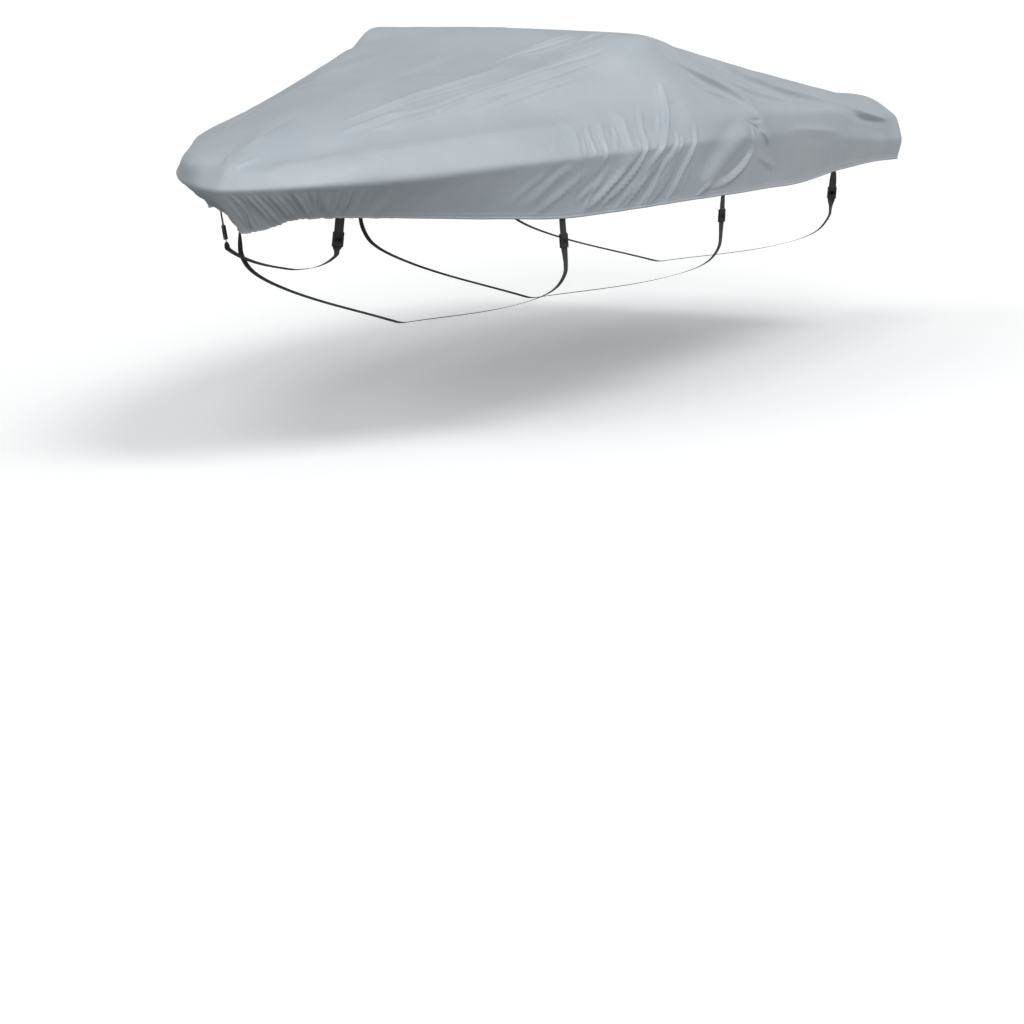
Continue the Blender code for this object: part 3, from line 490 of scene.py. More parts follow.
def corners(along, side):
    """Corners of the sheet's profile on each rib: spine, ridge, deck edge, gunwale and hem."""
    spine_x, spine_z, share, ridge_z, soft, deck_in, deck_up, drop, tuck = (
        monotone(along, RIBS[:, 0], column) for column in RIBS[:, 1:].T)
    rail = gunwale(along, side)
    spine = np.stack([spine_x, np.zeros_like(spine_x), spine_z], -1)
    span = np.linalg.norm(rail[:, :2] - spine[:, :2], axis=-1)
    at_bow = 1 - ease(along, *(BOW_BAND_TO_PORT if side < 0 else BOW_BAND_TO_STARBOARD))
    deck_in = deck_in + BOW_BAND_IN * at_bow
    deck_up = deck_up - BOW_BAND_DOWN * at_bow
    off_centre = ease(along, *SIDES_PART) * ease(HALF_ROUND - along, 0, SIDES_MEET)
    ridge = spine + (rail - spine) * share[:, None]
    ridge[:, 2] = ridge_z + side * STARBOARD_LIFT * off_centre
    if side < 0:
        dip = between(along, BOW_DIP_FROM, BOW_DIP_TO)
        deck_in -= BOW_DIP_OUT * dip
        deck_up -= BOW_DIP_DOWN * dip
    else:
        soft = soft * (1 - (1 - RIDGE_SOFT_STARBOARD) * off_centre)
        ridge[:, 2] -= STARBOARD_HOLLOW * swell(along - HOLLOW_AT, HOLLOW_HALF)
        drawn = between(along, BOW_HEM_FROM, BOW_HEM_TO)
        drop = drop - BOW_HEM_UP * drawn
        tuck = tuck + BOW_HEM_IN * drawn
    deck = rail + (spine - rail) * (deck_in / span)[:, None]
    deck[:, 2] = rail[:, 2] + deck_up
    hem = rail.copy()
    hem[:, :2] -= outward(along, side) * tuck[:, None]
    hem[:, 2] -= drop
    return [spine, ridge, deck, rail, hem], soft


def deck_softness(along, side):
    """How far the deck edge is rounded on each rib: most on the starboard bow."""
    if side < 0:
        return np.full_like(along, DECK_SOFT)
    return DECK_SOFT + (DECK_SOFT_BOW - DECK_SOFT) * between(along, BOW_SOFT_FROM, BOW_SOFT_TO)


def profile(along, side, row):
    """Points of the sheet on the ribs of one side, on one row counted from spine to hem."""
    points, soft = corners(along, side)
    across = 2 * points[0] - points[1]
    across[:, 2] = points[1][:, 2]
    path = [across] + points
    lengths = [np.linalg.norm(b - a, axis=-1) for a, b in zip(path, path[1:])]
    softness = [np.full_like(soft, SPINE_SOFT), soft, deck_softness(along, side),
                np.full_like(soft, GUNWALE_SOFT), np.zeros_like(soft)]
    bend = int(round(row))
    if bend < 4 and abs(row - bend) <= BEND_ZONE:
        corner = path[bend + 1]
        before = np.minimum(softness[bend] / lengths[bend], MOST_SOFT)[:, None]
        after = np.minimum(softness[bend] / lengths[bend + 1], MOST_SOFT)[:, None]
        a = corner + (path[bend] - corner) * before
        b = corner + (path[bend + 2] - corner) * after
        s = (row - bend + BEND_ZONE) / (2 * BEND_ZONE)
        return (1 - s) ** 2 * a + 2 * s * (1 - s) * corner + s * s * b
    k = min(int(row), 3)
    low = np.minimum(softness[k] / lengths[k + 1], MOST_SOFT)
    high = np.minimum(softness[k + 1] / lengths[k + 1], MOST_SOFT)
    stretch = 1 - BEND_ZONE if k == 3 else 1 - 2 * BEND_ZONE
    t = low + (1 - low - high) * (row - k - BEND_ZONE) / stretch
    return path[k + 1] + (path[k + 2] - path[k + 1]) * t[:, None]


def seam_drift(along, side, share):
    """How far ribs near the seam lean along the gunwale, so that a rib lies on the seam."""
    drift = SEAM_DRIFT_PORT if side < 0 else SEAM_DRIFT_STARBOARD
    fore = along / SEAM_AT
    aft = (WINDSHIELD_AT - along) / (WINDSHIELD_AT - SEAM_AT)
    near = np.clip(np.minimum(fore, aft), 0, 1)
    return drift * near[:, None] * np.sin(math.pi * np.clip(share, 0, 1))


def broad_folds(along, up, folds):
    """Height of the broad folds at places given as distance round and up from the gunwale."""
    lift = np.zeros_like(along)
    shortest = 1e-6
    for a0, v0, a1, v1, bow, width, height, fade_in, fade_out in folds:
        run = math.hypot(a1 - a0, v1 - v0)
        ca, cv = (a1 - a0) / run, (v1 - v0) / run
        da, dv = along - a0, up - v0
        t = (da * ca + dv * cv) / run
        across = dv * ca - da * cv - bow * 4 * np.clip(t * (1 - t), 0, None)
        shape = swell(across, width)
        shape -= LEE * swell(across + LEE_AT * width, width)
        ends = ease(t, 0, max(fade_in, shortest)) * ease(1 - t, 0, max(fade_out, shortest))
        lift += height * shape * ends
    return lift


def crease(along, up, width, height, path):
    """Height of one sharp crease with a shallow trough on its lower side."""
    steps, reach, sharpness, fading = 60, 5 * width, -1.6, 0.7
    trough_depth, trough_at, trough_width, trough_reach = (
        0.35, 2.2 * width, 1.3 * width, 4 * width)
    path = np.array(path)
    ends_at = run_along(path)
    total = ends_at[-1]
    fine = np.linspace(0, total, steps)
    curve = places_on(fine, ends_at, path, monotone if len(path) > 2 else np.interp)
    near = ((along > curve[:, 0].min() - reach) & (along < curve[:, 0].max() + reach)
            & (up > curve[:, 1].min() - reach) & (up < curve[:, 1].max() + reach))
    lift = np.zeros_like(along)
    if not near.any():
        return lift
    spot = np.stack([along[near], up[near]], 1)
    best = np.full(len(spot), np.inf)
    place = np.zeros(len(spot))
    offset = np.zeros(len(spot))
    for k in range(len(curve) - 1):
        start, step = curve[k], curve[k + 1] - curve[k]
        size = math.hypot(*step)
        ahead = step / size
        delta = spot - start
        inside = np.clip(delta @ ahead, 0, size)
        gap = delta - inside[:, None] * ahead
        far = np.hypot(gap[:, 0], gap[:, 1])
        closer = far < best
        side = delta[:, 1] * ahead[0] - delta[:, 0] * ahead[1]
        offset = np.where(closer, side, offset)
        place = np.where(closer, (fine[k] + inside) / total, place)
        best = np.where(closer, far, best)
    ridge = (1 + (best / width) ** 2) ** sharpness
    trough = swell(offset + trough_at, trough_width) * (best < trough_reach)
    fade = np.sin(math.pi * np.clip(place, 0, 1)) ** fading
    lift[near] = height * (ridge - trough_depth * trough) * fade
    return lift


def pleats(along, up):
    """Height of the pleats that are gathered into the hem round the bow.  They are a little
    uneven in width and height."""
    lift = np.zeros_like(along)
    for k, (start, end) in enumerate(PLEATS):
        drop = np.clip(-up / PLEAT_DROP, 0, 1.2)
        off = along - (start + (end - start) * drop ** 0.9)
        width = PLEAT_WIDTH * (1 + 0.25 * math.sin(2.4 * k))
        fade = max(0.25, 1 - 0.12 * max(0, k - PLEAT_FADE_FROM))
        strength = PLEAT_HEIGHT * (1 + 0.3 * math.sin(1.7 * k + 1)) * fade
        shape = swell(off, width) - 0.5 * swell(off - 1.7 * width, width)
        lift += strength * shape * ease(-up, 0.010, 0.07)
    return lift


def crumple(along, up):
    """Slow unevenness of loose cloth: a few crossing waves of unlike lengths."""
    wave = (np.sin(7.1 * along + 3.0 * up) * np.sin(9.3 * up - 2.2 * along + 1.0)
            + 0.6 * np.sin(14.7 * along - 9.1 * up + 2.0) * np.sin(17.3 * up + 5.3 * along)
            + 0.35 * np.sin(31.0 * along + 17.0 * up) * np.sin(27.0 * up - 21.0 * along + 0.6))
    return CRUMPLE_HEIGHT * wave


def sheet_lift(along, up, side, share):
    """Whole height of the cloth's relief above the plain sheet."""
    if side < 0:
        lift = broad_folds(along, up, SAGS + FOLDS)
        for width, height, *path in CREASES:
            lift += crease(along, up, width, height, path)
        lift += pleats(along, up)
    else:
        back = along - STARBOARD_SHIFT
        lift = broad_folds(back, up, FOLDS) * STARBOARD_FOLDS
        for width, height, *path in CREASES:
            lift += (crease(back, up * STARBOARD_LOW, width, height, path)
                     * STARBOARD_CREASES * (1 - ease(up, *STARBOARD_END)))
        lift += pleats(along + PLEATS_SHIFT, up) * STARBOARD_PLEATS
    lift += crumple(along * side, up)
    lift *= (ease(along, 0, MIDLINE_CALM) * ease(HALF_ROUND - along, 0, MIDLINE_CALM)
             * ease(share, 0, SPINE_CALM))
    above, radius, height = BOW_FITTING
    return lift + height * np.exp(-(along ** 2 + (up - above) ** 2) / radius ** 2)


def sheet_normals(port, starboard, round_bow):
    """Outward directions on the two sides' grids of ribs by rows.  The sides are continued by
    each other over the spine and at the end where they meet, the bow tip or the stern."""
    meet = 0 if round_bow else -1
    result = []
    for own, far, turn in ((port, starboard, -1.0), (starboard, port, 1.0)):
        beyond = far[1:2] if round_bow else far[-2:-1]
        wide, over = (
            np.concatenate([past, part] if round_bow else [part, past], 0)
            for part, past in ((own, beyond), (far[:, 1:2], beyond[:, 1:2])))
        wide = np.concatenate([over, wide], 1)
        cross = turn * np.cross(np.gradient(wide, axis=0), np.gradient(wide, axis=1))
        cross = cross[1:, 1:] if round_bow else cross[:-1, 1:]
        cross[meet, 0] = cross[meet, 1]
        result.append(unit(cross))
    a, b = result
    a[:, 0] = b[:, 0] = unit(a[:, 0] + b[:, 0])
    a[meet] = b[meet] = unit(a[meet] + b[meet])
    return a, b


def steps_through(start, *stretches):
    """Places in even steps through stretches, from the end and the step count of each."""
    places = [start]
    for end, count in stretches:
        places += list(np.linspace(places[-1], end, count + 1)[1:])
    return np.array(places)


# Rows from the spine, 0, to the hem, 4: ridge, deck edge and gunwale are 1, 2 and 3
TRACE_ROWS = steps_through(0.0, (0.75, 30), (1.25, 30), (1.75, 40), (2.25, 24), (2.75, 12),
                           (3.25, 24), (3.90, 30), (4.0, 10))


def crowding(along, up, from_hem):
    """How close the rows lie: closest where the cloth is creased, bent or hemmed."""
    diagonals = (between(along, (0.45, 0.8), (2.75, 2.9))
                 * ease(up, 0.22, 0.30) * (1 - ease(up, 0.80, 0.92)))
    fan = ease(along, 2.75, 2.9) * ease(up, 0.0, 0.08) * (1 - ease(up, 0.50, 0.60))
    bends = swell(up - 0.14, 0.04) + swell(up, 0.03)
    hem = 1 - ease(from_hem, HEM_DEPTH, HEM_DEPTH + 0.014)
    return 1 + 2.6 * diagonals + 1.6 * fan + 1.5 * bends + 6 * hem


def spread_rows(columns, along, down, rail):
    """Values on the traced rows, moved to as many rows as the panels have."""
    crowd = crowding(along, rail - down, down[:, -1:] - down)
    steps = (crowd[:, 1:] + crowd[:, :-1]) / 2 * np.diff(down, axis=1)
    filled = np.concatenate([np.zeros((len(down), 1)), np.cumsum(steps, 1)], 1)
    return [np.array([np.interp(np.linspace(0, fill[-1], ROW_COUNT + 1), fill, line)
                      for fill, line in zip(filled, column)]) for column in columns]


def trace_side(along, side):
    """Points of one side on the traced rows, their distances down from the spine, and that of
    the gunwale."""
    points = np.stack([profile(along[:, j], side, row) for j, row in enumerate(TRACE_ROWS)], 1)
    down = run_across(points)
    return points, down, np.array([np.interp(RAIL_ROW, TRACE_ROWS, line) for line in down])[:, None]


def cloth_relief(ribs, round_bow, edge_lift):
    """The finished sheet on the given ribs, as port and starboard grids of points, and the
    cloth's own coordinates of each: distance round and up from the gunwale."""
    made = []
    for side in (-1, 1):
        along = np.repeat(ribs[:, None], len(TRACE_ROWS), 1)
        points, down, rail = trace_side(along, side)
        along = along + seam_drift(ribs, side, down / rail)
        points, down, rail = trace_side(along, side)
        share = np.repeat(TRACE_ROWS[None], len(ribs), 0)
        columns = [*np.moveaxis(points, -1, 0), along, down, share]
        *place, along, down, share = spread_rows(columns, along, down, rail)
        up = rail - down
        from_hem = down[:, -1:] - down
        lift = sheet_lift(along, up, side, share)
        lift *= HEM_CALM + (1 - HEM_CALM) * ease(from_hem, 0.0, HEM_CALM_TO)
        lift += HEM_STEP * (1 - ease(from_hem, *HEM_EDGE))
        lift += CORD_RADIUS * swell(from_hem - CORD_UP, CORD_SPREAD)
        lift += edge_lift[:, None]
        made.append((np.stack(place, -1), along, up, lift))
    port, starboard = made
    port[0][:, 0] = starboard[0][:, 0] = (port[0][:, 0] + starboard[0][:, 0]) / 2
    directions = sheet_normals(port[0], starboard[0], round_bow)
    grids = [side[0] + n * side[3][..., None] for side, n in zip(made, directions)]
    return *grids, *(np.stack([side[1], side[2]], -1) for side in made)


def lay_grid(bm, points, layer=None, uvs=None):
    """Faces over a grid of points, mapped if asked, and the place in it of each point."""
    last, end = points.shape[0] - 1, points.shape[1] - 1
    made = bmesh.ops.create_grid(bm, x_segments=last, y_segments=end, size=1.0)
    where = {}
    for vert in made["verts"]:
        place = (round((vert.co.x + 1) / 2 * last), round((vert.co.y + 1) / 2 * end))
        where[vert] = place
        vert.co = points[place]
        if layer:
            for loop in vert.link_loops:
                loop[layer].uv = uvs[place]
    return where


def cloth_panel(name, grid, places):
    """One panel: a grid mapped on the relief, with the cloth's coordinates as its UV map.  It
    is thinned out where the cloth is plain, and given the wall of the cloth."""
    last_rib, last_row = grid.shape[0] - 1, grid.shape[1] - 1
    bm = bmesh.new()
    weave = bm.loops.layers.uv.new("cloth")
    loose = bm.verts.layers.deform.new("plain")
    for vert, (rib, _) in lay_grid(bm, grid - SHEET_ORIGIN, weave, places).items():
        if SEAM_RIBS < rib < last_rib - SEAM_RIBS:
            vert[loose][0] = 1.0
    bmesh.ops.remove_doubles(bm, verts=bm.verts, dist=MERGE)
    bmesh.ops.recalc_face_normals(bm, faces=bm.faces)
    piece = make_piece(name, bm, COVER_CLOTH, slot="cover_cloth", sharp=180)
    piece.vertex_groups.new(name="plain")
    thinned = piece.modifiers.new("thinned", "DECIMATE")
    thinned.vertex_group = "plain"
    thinned.ratio = FACE_TRIANGLES / (2 * last_rib * last_row)
    wall = piece.modifiers.new("wall", "SOLIDIFY")
    wall.thickness = SHEET_WALL
    wall.offset = -1.0
    settled = piece.evaluated_get(bpy.context.evaluated_depsgraph_get())
    piece.data = bpy.data.meshes.new_from_object(settled)
    piece.modifiers.clear()
    return piece


def add_node(tree, kind, output, inputs, **settings):
    """The named output of a new shader node."""
    node = tree.nodes.new("ShaderNode" + kind)
    for key, value in settings.items():
        setattr(node, key, value)
    set_inputs(node, inputs)
    return node.outputs[output]


def speckle(tree, scale, detail, **more):
    """Soft noise in the piece's own space."""
    place = add_node(tree, "TexCoord", "Object", {})
    return add_node(tree, "TexNoise", "Fac",
                    {"Vector": place, "Scale": scale, "Detail": detail, **more})


def threads(tree, uv_map, direction, scale, distortion=0.0):
    """Threads side by side, across one direction of the cloth's own map."""
    place = add_node(tree, "UVMap", "UV", {}, uv_map=uv_map)
    return add_node(tree, "TexWave", "Fac",
                    {"Vector": place, "Scale": scale, "Distortion": distortion},
                    wave_type="BANDS", bands_direction=direction)


def two_tones(tree, pattern, *tones):
    """A pattern's colours, from the tones at its low and its high values."""
    ramp = tree.nodes.new("ShaderNodeValToRGB")
    tree.links.new(pattern, ramp.inputs["Fac"])
    for element, (position, *colour) in zip(ramp.color_ramp.elements, tones):
        element.position = position
        element.color = (*colour, 1)
    return ramp.outputs["Color"]


def from_to(tree, pattern, low, high):
    """A pattern's values, moved to lie between two others."""
    return add_node(tree, "MapRange", "Result", {"Value": pattern, "To Min": low, "To Max": high})


def bump(tree, height, strength, distance, **under):
    """Relief from a pattern, on another relief if one is given as Normal."""
    return add_node(tree, "Bump", "Normal",
                    {"Height": height, "Strength": strength, "Distance": distance, **under})


def cloth_finish():
    """Silver-grey coated polyester: a fine plain weave, a satin face and faint mottling, with
    small crumples pressed into it."""
    finish, shader = plain_finish("cover_cloth", (0.43, 0.47, 0.50), 0.40)
    tree = finish.node_tree
    mottle = speckle(tree, 3.2, 5.0, Roughness=0.55)
    crumples = speckle(tree, 22.0, 6.0, Roughness=0.5, Distortion=0.4)
    warp, weft = (threads(tree, "cloth", direction, 500.0) for direction in "XY")
    weave = add_node(tree, "Math", "Value", {0: warp, 1: weft}, operation="MULTIPLY")
    set_inputs(shader, {
        "Base Color": two_tones(tree, mottle, (0.30, 0.395, 0.440, 0.475),
                                (0.72, 0.440, 0.482, 0.512)),
        "Roughness": from_to(tree, mottle, 0.38, 0.48),
        "Normal": bump(tree, crumples, 0.35, 0.004, Normal=bump(tree, weave, 0.10, 0.0003)),
        "Sheen Weight": 0.10,
        "Sheen Roughness": 0.4,
    })
    return finish


COVER_CLOTH = cloth_finish()

LAP_AT = SEAM_AT - SEAM_LAP
FORE_RIBS = steps_through(0.0, (0.62, 103), (1.20, 41), (SEAM_AT - 0.024, 28), (SEAM_AT, 4),
                          (SEAM_AT + 0.003, 1))
MAIN_RIBS = steps_through(LAP_AT, (SEAM_AT + SEAM_LAP, 4), (2.85, 140), (3.65, 80), (5.30, 69),
                          (HALF_ROUND, 30))

# Under the lap the fore panel lies a little lower, and the main panel's edge stands proud of it.
fore_port, fore_starboard, fore_port_uv, fore_starboard_uv = cloth_relief(
    FORE_RIBS, True, -SEAM_STEP * ease(FORE_RIBS, LAP_AT - 0.012, LAP_AT))
fore_panel = cloth_panel("fore_panel_cloth",
                         np.concatenate([fore_port[:0:-1], fore_starboard]),
                         np.concatenate([fore_port_uv[:0:-1] * (-1, 1), fore_starboard_uv]))
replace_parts(fore_panel, "cover_fore_panel")

main_port, main_starboard, main_port_uv, main_starboard_uv = cloth_relief(
    MAIN_RIBS, False, LAP_RISE * (1 - ease(MAIN_RIBS, SEAM_AT, SEAM_AT + SEAM_LAP)))
main_panel = cloth_panel("main_panel_cloth",
                         np.concatenate([main_starboard, main_port[-2::-1]]),
                         np.concatenate([main_starboard_uv, main_port_uv[-2::-1] * (-1, 1)
                                         + (2 * HALF_ROUND, 0)]))
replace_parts(main_panel, "cover_main_panel")

# ---------------------------------------------------------------- stitching of hem and seam
# The hem is turned up over its drawcord and sewn down in one row, and the lap between the two
# panels is sewn in two rows, all in grey polyester thread.
STITCH_PITCH = 0.0068
STITCH_WIDTH = 0.001
STITCH_THICK = 0.0007
STITCH_UP = 0.0002  # height of its crown above the cloth
STITCH_DIP = 0.0009  # depth of the thread between two stitches, in the cloth
STITCH_RINGS = 5  # rings of the thread's mesh on one stitch, and its sides
THREAD_SIDES = 5
HEM_STITCH_UP = HEM_DEPTH - 0.004
SEAM_STITCH_RIBS = (1, 3)
FINE_MERGE = 0.00001


def skin_rings(bm, rings, *mapping):
    """Skin closed rings of points with faces, and close both ends."""
    made = lay_grid(bm, np.concatenate([rings, rings[:, :1]], 1), *mapping)
    bmesh.ops.remove_doubles(bm, verts=list(made), dist=FINE_MERGE)
    open_edges = [edge for edge in bm.edges if edge.is_boundary]
    bmesh.ops.holes_fill(bm, edges=open_edges, sides=0)
    bmesh.ops.recalc_face_normals(bm, faces=bm.faces)


def stitch_row(bm, line, outs):
    """A sewn row: a thread along a line on the cloth, which comes up out of it and goes back
    into it at every stitch."""
    at = run_along(line)
    count = max(1, int(at[-1] / STITCH_PITCH))
    fine = np.linspace(0, count * STITCH_PITCH, count * STITCH_RINGS + 1)
    path, out = (places_on(fine, at, values, np.interp) for values in (line, outs))
    run = unit(np.gradient(path, axis=0))
    out = unit(out - run * (out * run).sum(1)[:, None])
    across = np.cross(out, run)
    rise = np.abs(np.sin(math.pi * fine / STITCH_PITCH))
    centre = STITCH_UP - STITCH_THICK / 2 - (STITCH_UP + STITCH_DIP) * (1 - rise)
    turn = np.linspace(0, 2 * math.pi, THREAD_SIDES, endpoint=False)
    rings = (path[:, None] - SHEET_ORIGIN
             + across[:, None] * (np.cos(turn) * STITCH_WIDTH / 2)[:, None]
             + out[:, None] * (centre[:, None] + np.sin(turn) * STITCH_THICK / 2)[..., None])
    skin_rings(bm, rings)


def line_above_hem(grid, height):
    """The line on the cloth that runs at a height above the hem, and the cloth's outward
    directions on it."""
    step, half_length = 0.004, 2.6
    flipped = grid[:, ::-1]
    up = run_across(flipped)
    line, above = (np.array([[np.interp(level, up[k], flipped[k, :, c]) for c in range(3)]
                             for k in range(len(grid))]) for level in (height, height + step))
    out = unit(np.cross(above - line, np.gradient(line, axis=0)))
    outside = out[:, 0] * (line[:, 0] - SHEET_ORIGIN[0]) / half_length + out[:, 1] * line[:, 1]
    return line, out * np.sign(outside)[:, None]


def make_stitches(name, rows, finish, slot):
    """Rows of stitches as one piece, from the line and the outward directions of each."""
    bm = bmesh.new()
    for line, outs in rows:
        stitch_row(bm, line, outs)
    make_piece(name, bm, finish, slot=slot)


def line_on_rib(grid, rib):
    """A rib as a line to sew along, and the cloth's outward directions on it."""
    out = unit(np.cross(grid[rib + 1] - grid[rib - 1], np.gradient(grid[rib], axis=0)))
    return grid[rib], out * np.sign(out[:, 2:3].mean())


THREAD, _ = plain_finish("seam_thread", (0.41, 0.45, 0.48), 0.6)
make_stitches("hem_stitches",
              [line_above_hem(grid, HEM_STITCH_UP)
               for grid in (fore_port, fore_starboard, main_port, main_starboard)],
              THREAD, "cover_cloth")
make_stitches("seam_stitches",
              [line_on_rib(grid, rib) for grid in (main_port, main_starboard)
               for rib in SEAM_STITCH_RIBS],
              THREAD, "cover_cloth")

# ---------------------------------------------------------------- strap webbing
# Four straps of 40 mm black polypropylene webbing.  On each side one length is sewn inside the
# hem and looped round the bar of the buckle's socket; a long one joins the two plugs under the
# hull.
WEB_WIDTH = 0.040
WEB_THICK = 0.0016
WEB_TOP = 0.052  # length sewn inside the skirt
WEB_STEP = 0.007
WEB_LAST_UV = -0.018  # the map's last column, where the section closes
HEM_CLEAR = 0.006
TOUCH = 0.0004
LOOP_BACK = 0.034  # end that is folded back over the webbing and sewn
LOOP_GAP = 0.0002
TURNS = (0.0, 0.0, 0.0, 0.3, 0.8, 1.0)  # how far the webbing has turned from hem to buckle
SLACK = 14  # how often the run under the hull is eased
SOCKET_LENGTH = 0.041
PLUG_LENGTH = 0.0198
BAR_POINTS = (1, 3)  # bars of stitches on the loop: their points and half length
BAR_HALF = 0.40 * WEB_WIDTH
BARS_OUT = 1.5  # on the outer face of the folded end, in steps from the webbing's middle
# Where each strap crosses the keel, and the run of one side down to it: distance out and height
KEEL_RUNS = {
    1: (-1.877, (0.215, -0.887), (0.12, -0.921), (0, -0.941)),
    2: (-0.987, (0.79, -1.056), (0.65, -1.131), (0, -1.271)),
    3: (0.303, (0.93, -1.071), (0.76, -1.151), (0, -1.306)),
    4: (1.833, (0.915, -1.061), (0.76, -1.136), (0, -1.281)),
}
# Each side of each strap: the point at the hem, the webbing's width direction there, the way
# down inside the skirt, the way down to the hull, the buckle's width direction, the buckle's
# top, and the point that the webbing bears on
STRAP_ENDS = {
    (1, "port"): ((-1.9769, -0.2847, -0.701), (0.7354, -0.6777, -0.0014),
        (0.5134, 0.5584, -0.6516), (0, 0.1273, -0.9919), (0.738, -0.6693, -0.0859),
        (-1.9738, -0.274, -0.7624), (-1.9738, -0.262, -0.856)),
    (1, "starboard"): ((-1.9758, 0.2948, -0.6994), (0.7233, 0.6904, -0.0132),
        (0.5264, -0.5637, -0.6365), (0, -0.1891, -0.982), (0.7284, 0.6728, -0.1296),
        (-1.9726, 0.2804, -0.7602), (-1.9726, 0.262, -0.856)),
    (2, "port"): ((-1.0104, -0.8086, -0.7662), (0.96, -0.2784, -0.0281), (0.0396, 0.2346, -0.9713),
        (0, -0.0809, -0.9967), (0.9613, -0.2747, 0.0223), (-1.0102, -0.8121, -0.8318),
        (-1.0102, -0.825, -0.991)),
    (2, "starboard"): ((-1.0101, 0.8315, -0.7669), (0.9244, 0.3772, -0.0564),
        (0.0148, -0.1831, -0.983), (0, -0.0246, -0.9997), (0.9254, 0.3788, -0.0093),
        (-1.01, 0.8289, -0.8328), (-1.01, 0.825, -0.991)),
    (3, "port"): ((0.3412, -0.9867, -0.7675), (0.9996, -0.0222, -0.0197),
        (-0.0157, 0.1692, -0.9855), (0, 0.0478, -0.9989), (0.9805, -0.1961, -0.0094),
        (0.3411, -0.9828, -0.8333), (0.3411, -0.975, -0.996)),
    (3, "starboard"): ((0.3412, 1.0125, -0.7675), (0.9996, 0.0225, -0.0196),
        (-0.0155, -0.1684, -0.9856), (0, -0.1618, -0.9868), (0.9801, 0.196, -0.0321),
        (0.3411, 1.0018, -0.8326), (0.3411, 0.975, -0.996)),
    (4, "port"): ((1.8498, -0.9818, -0.7599), (0.9993, 0.0077, 0.0355), (0.0328, 0.2308, -0.9724),
        (0, 0.0697, -0.9976), (0.6503, -0.7578, -0.053), (1.85, -0.975, -0.8436),
        (1.85, -0.965, -0.986)),
    (4, "starboard"): ((1.8498, 1.0074, -0.7599), (0.9993, -0.0081, 0.0355),
        (0.0327, -0.2308, -0.9724), (0, -0.1829, -0.9831), (0.6536, 0.744, -0.1385),
        (1.85, 0.9917, -0.8425), (1.85, 0.965, -0.986)),
}
# Half of the webbing's section: share of the width from the middle, share of the thickness
WEB_SECTION = [(0.0, 1.0), (0.35, 1.0), (0.70, 0.97), (0.90, 0.92), (0.975, 0.75), (1.0, 0.30)]


def webbing_finish():
    """Black ribbed webbing, a little dusty and fuzzy."""
    finish, shader = plain_finish("strap_webbing", (0.020, 0.020, 0.022), 0.62)
    tree = finish.node_tree
    weave = add_node(tree, "Math", "Value", {0: threads(tree, "web", "Y", 230.0, 0.6), 1: 0.45,
                                             2: threads(tree, "web", "X", 120.0)},
                     operation="MULTIPLY_ADD")
    set_inputs(shader, {
        "Base Color": two_tones(tree, speckle(tree, 60.0, 4.0), (0.35, 0.009, 0.009, 0.010),
                                (0.75, 0.022, 0.022, 0.024)),
        "Normal": bump(tree, weave, 0.6, 0.0006),
        "Sheen Weight": 0.10,
    })
    return finish


def webbing(bm, route, widths):
    """A length of webbing along a route, given with the direction of its width."""
    layer = bm.loops.layers.uv.get("web") or bm.loops.layers.uv.new("web")
    half = [(-w, t) for w, t in WEB_SECTION[:0:-1]] + WEB_SECTION
    section = half + [(w, -t) for w, t in reversed(half)]
    at = run_along(route)
    tangents = np.gradient(route, axis=0)
    rings, uvs = [], []
    for k, point in enumerate(route):
        tangent = Vector(tangents[k]).normalized()
        across = Vector(widths[k])
        across = (across - tangent * across.dot(tangent)).normalized()
        through = tangent.cross(across)
        rings.append([Vector(point) + across * (w * WEB_WIDTH / 2) + through * (t * WEB_THICK / 2)
                      for w, t in section])
        uvs.append([(w * WEB_WIDTH / 2, at[k]) for w, t in section] + [(WEB_LAST_UV, at[k])])
    skin_rings(bm, np.array(rings), layer, np.array(uvs))


def resample(points):
    """Evenly spaced points on a polyline, rounded at its corners, that keeps its ends."""
    points = np.array(points)
    at = run_along(points)
    return places_on(np.linspace(0, at[-1], max(3, int(at[-1] / WEB_STEP)) + 1), at, points)


def make_web(name, bm, node):
    """A length of webbing as a piece that stands for its CAD node."""
    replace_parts(make_piece(name, bm, WEBBING, slot="strap_webbing"), node)


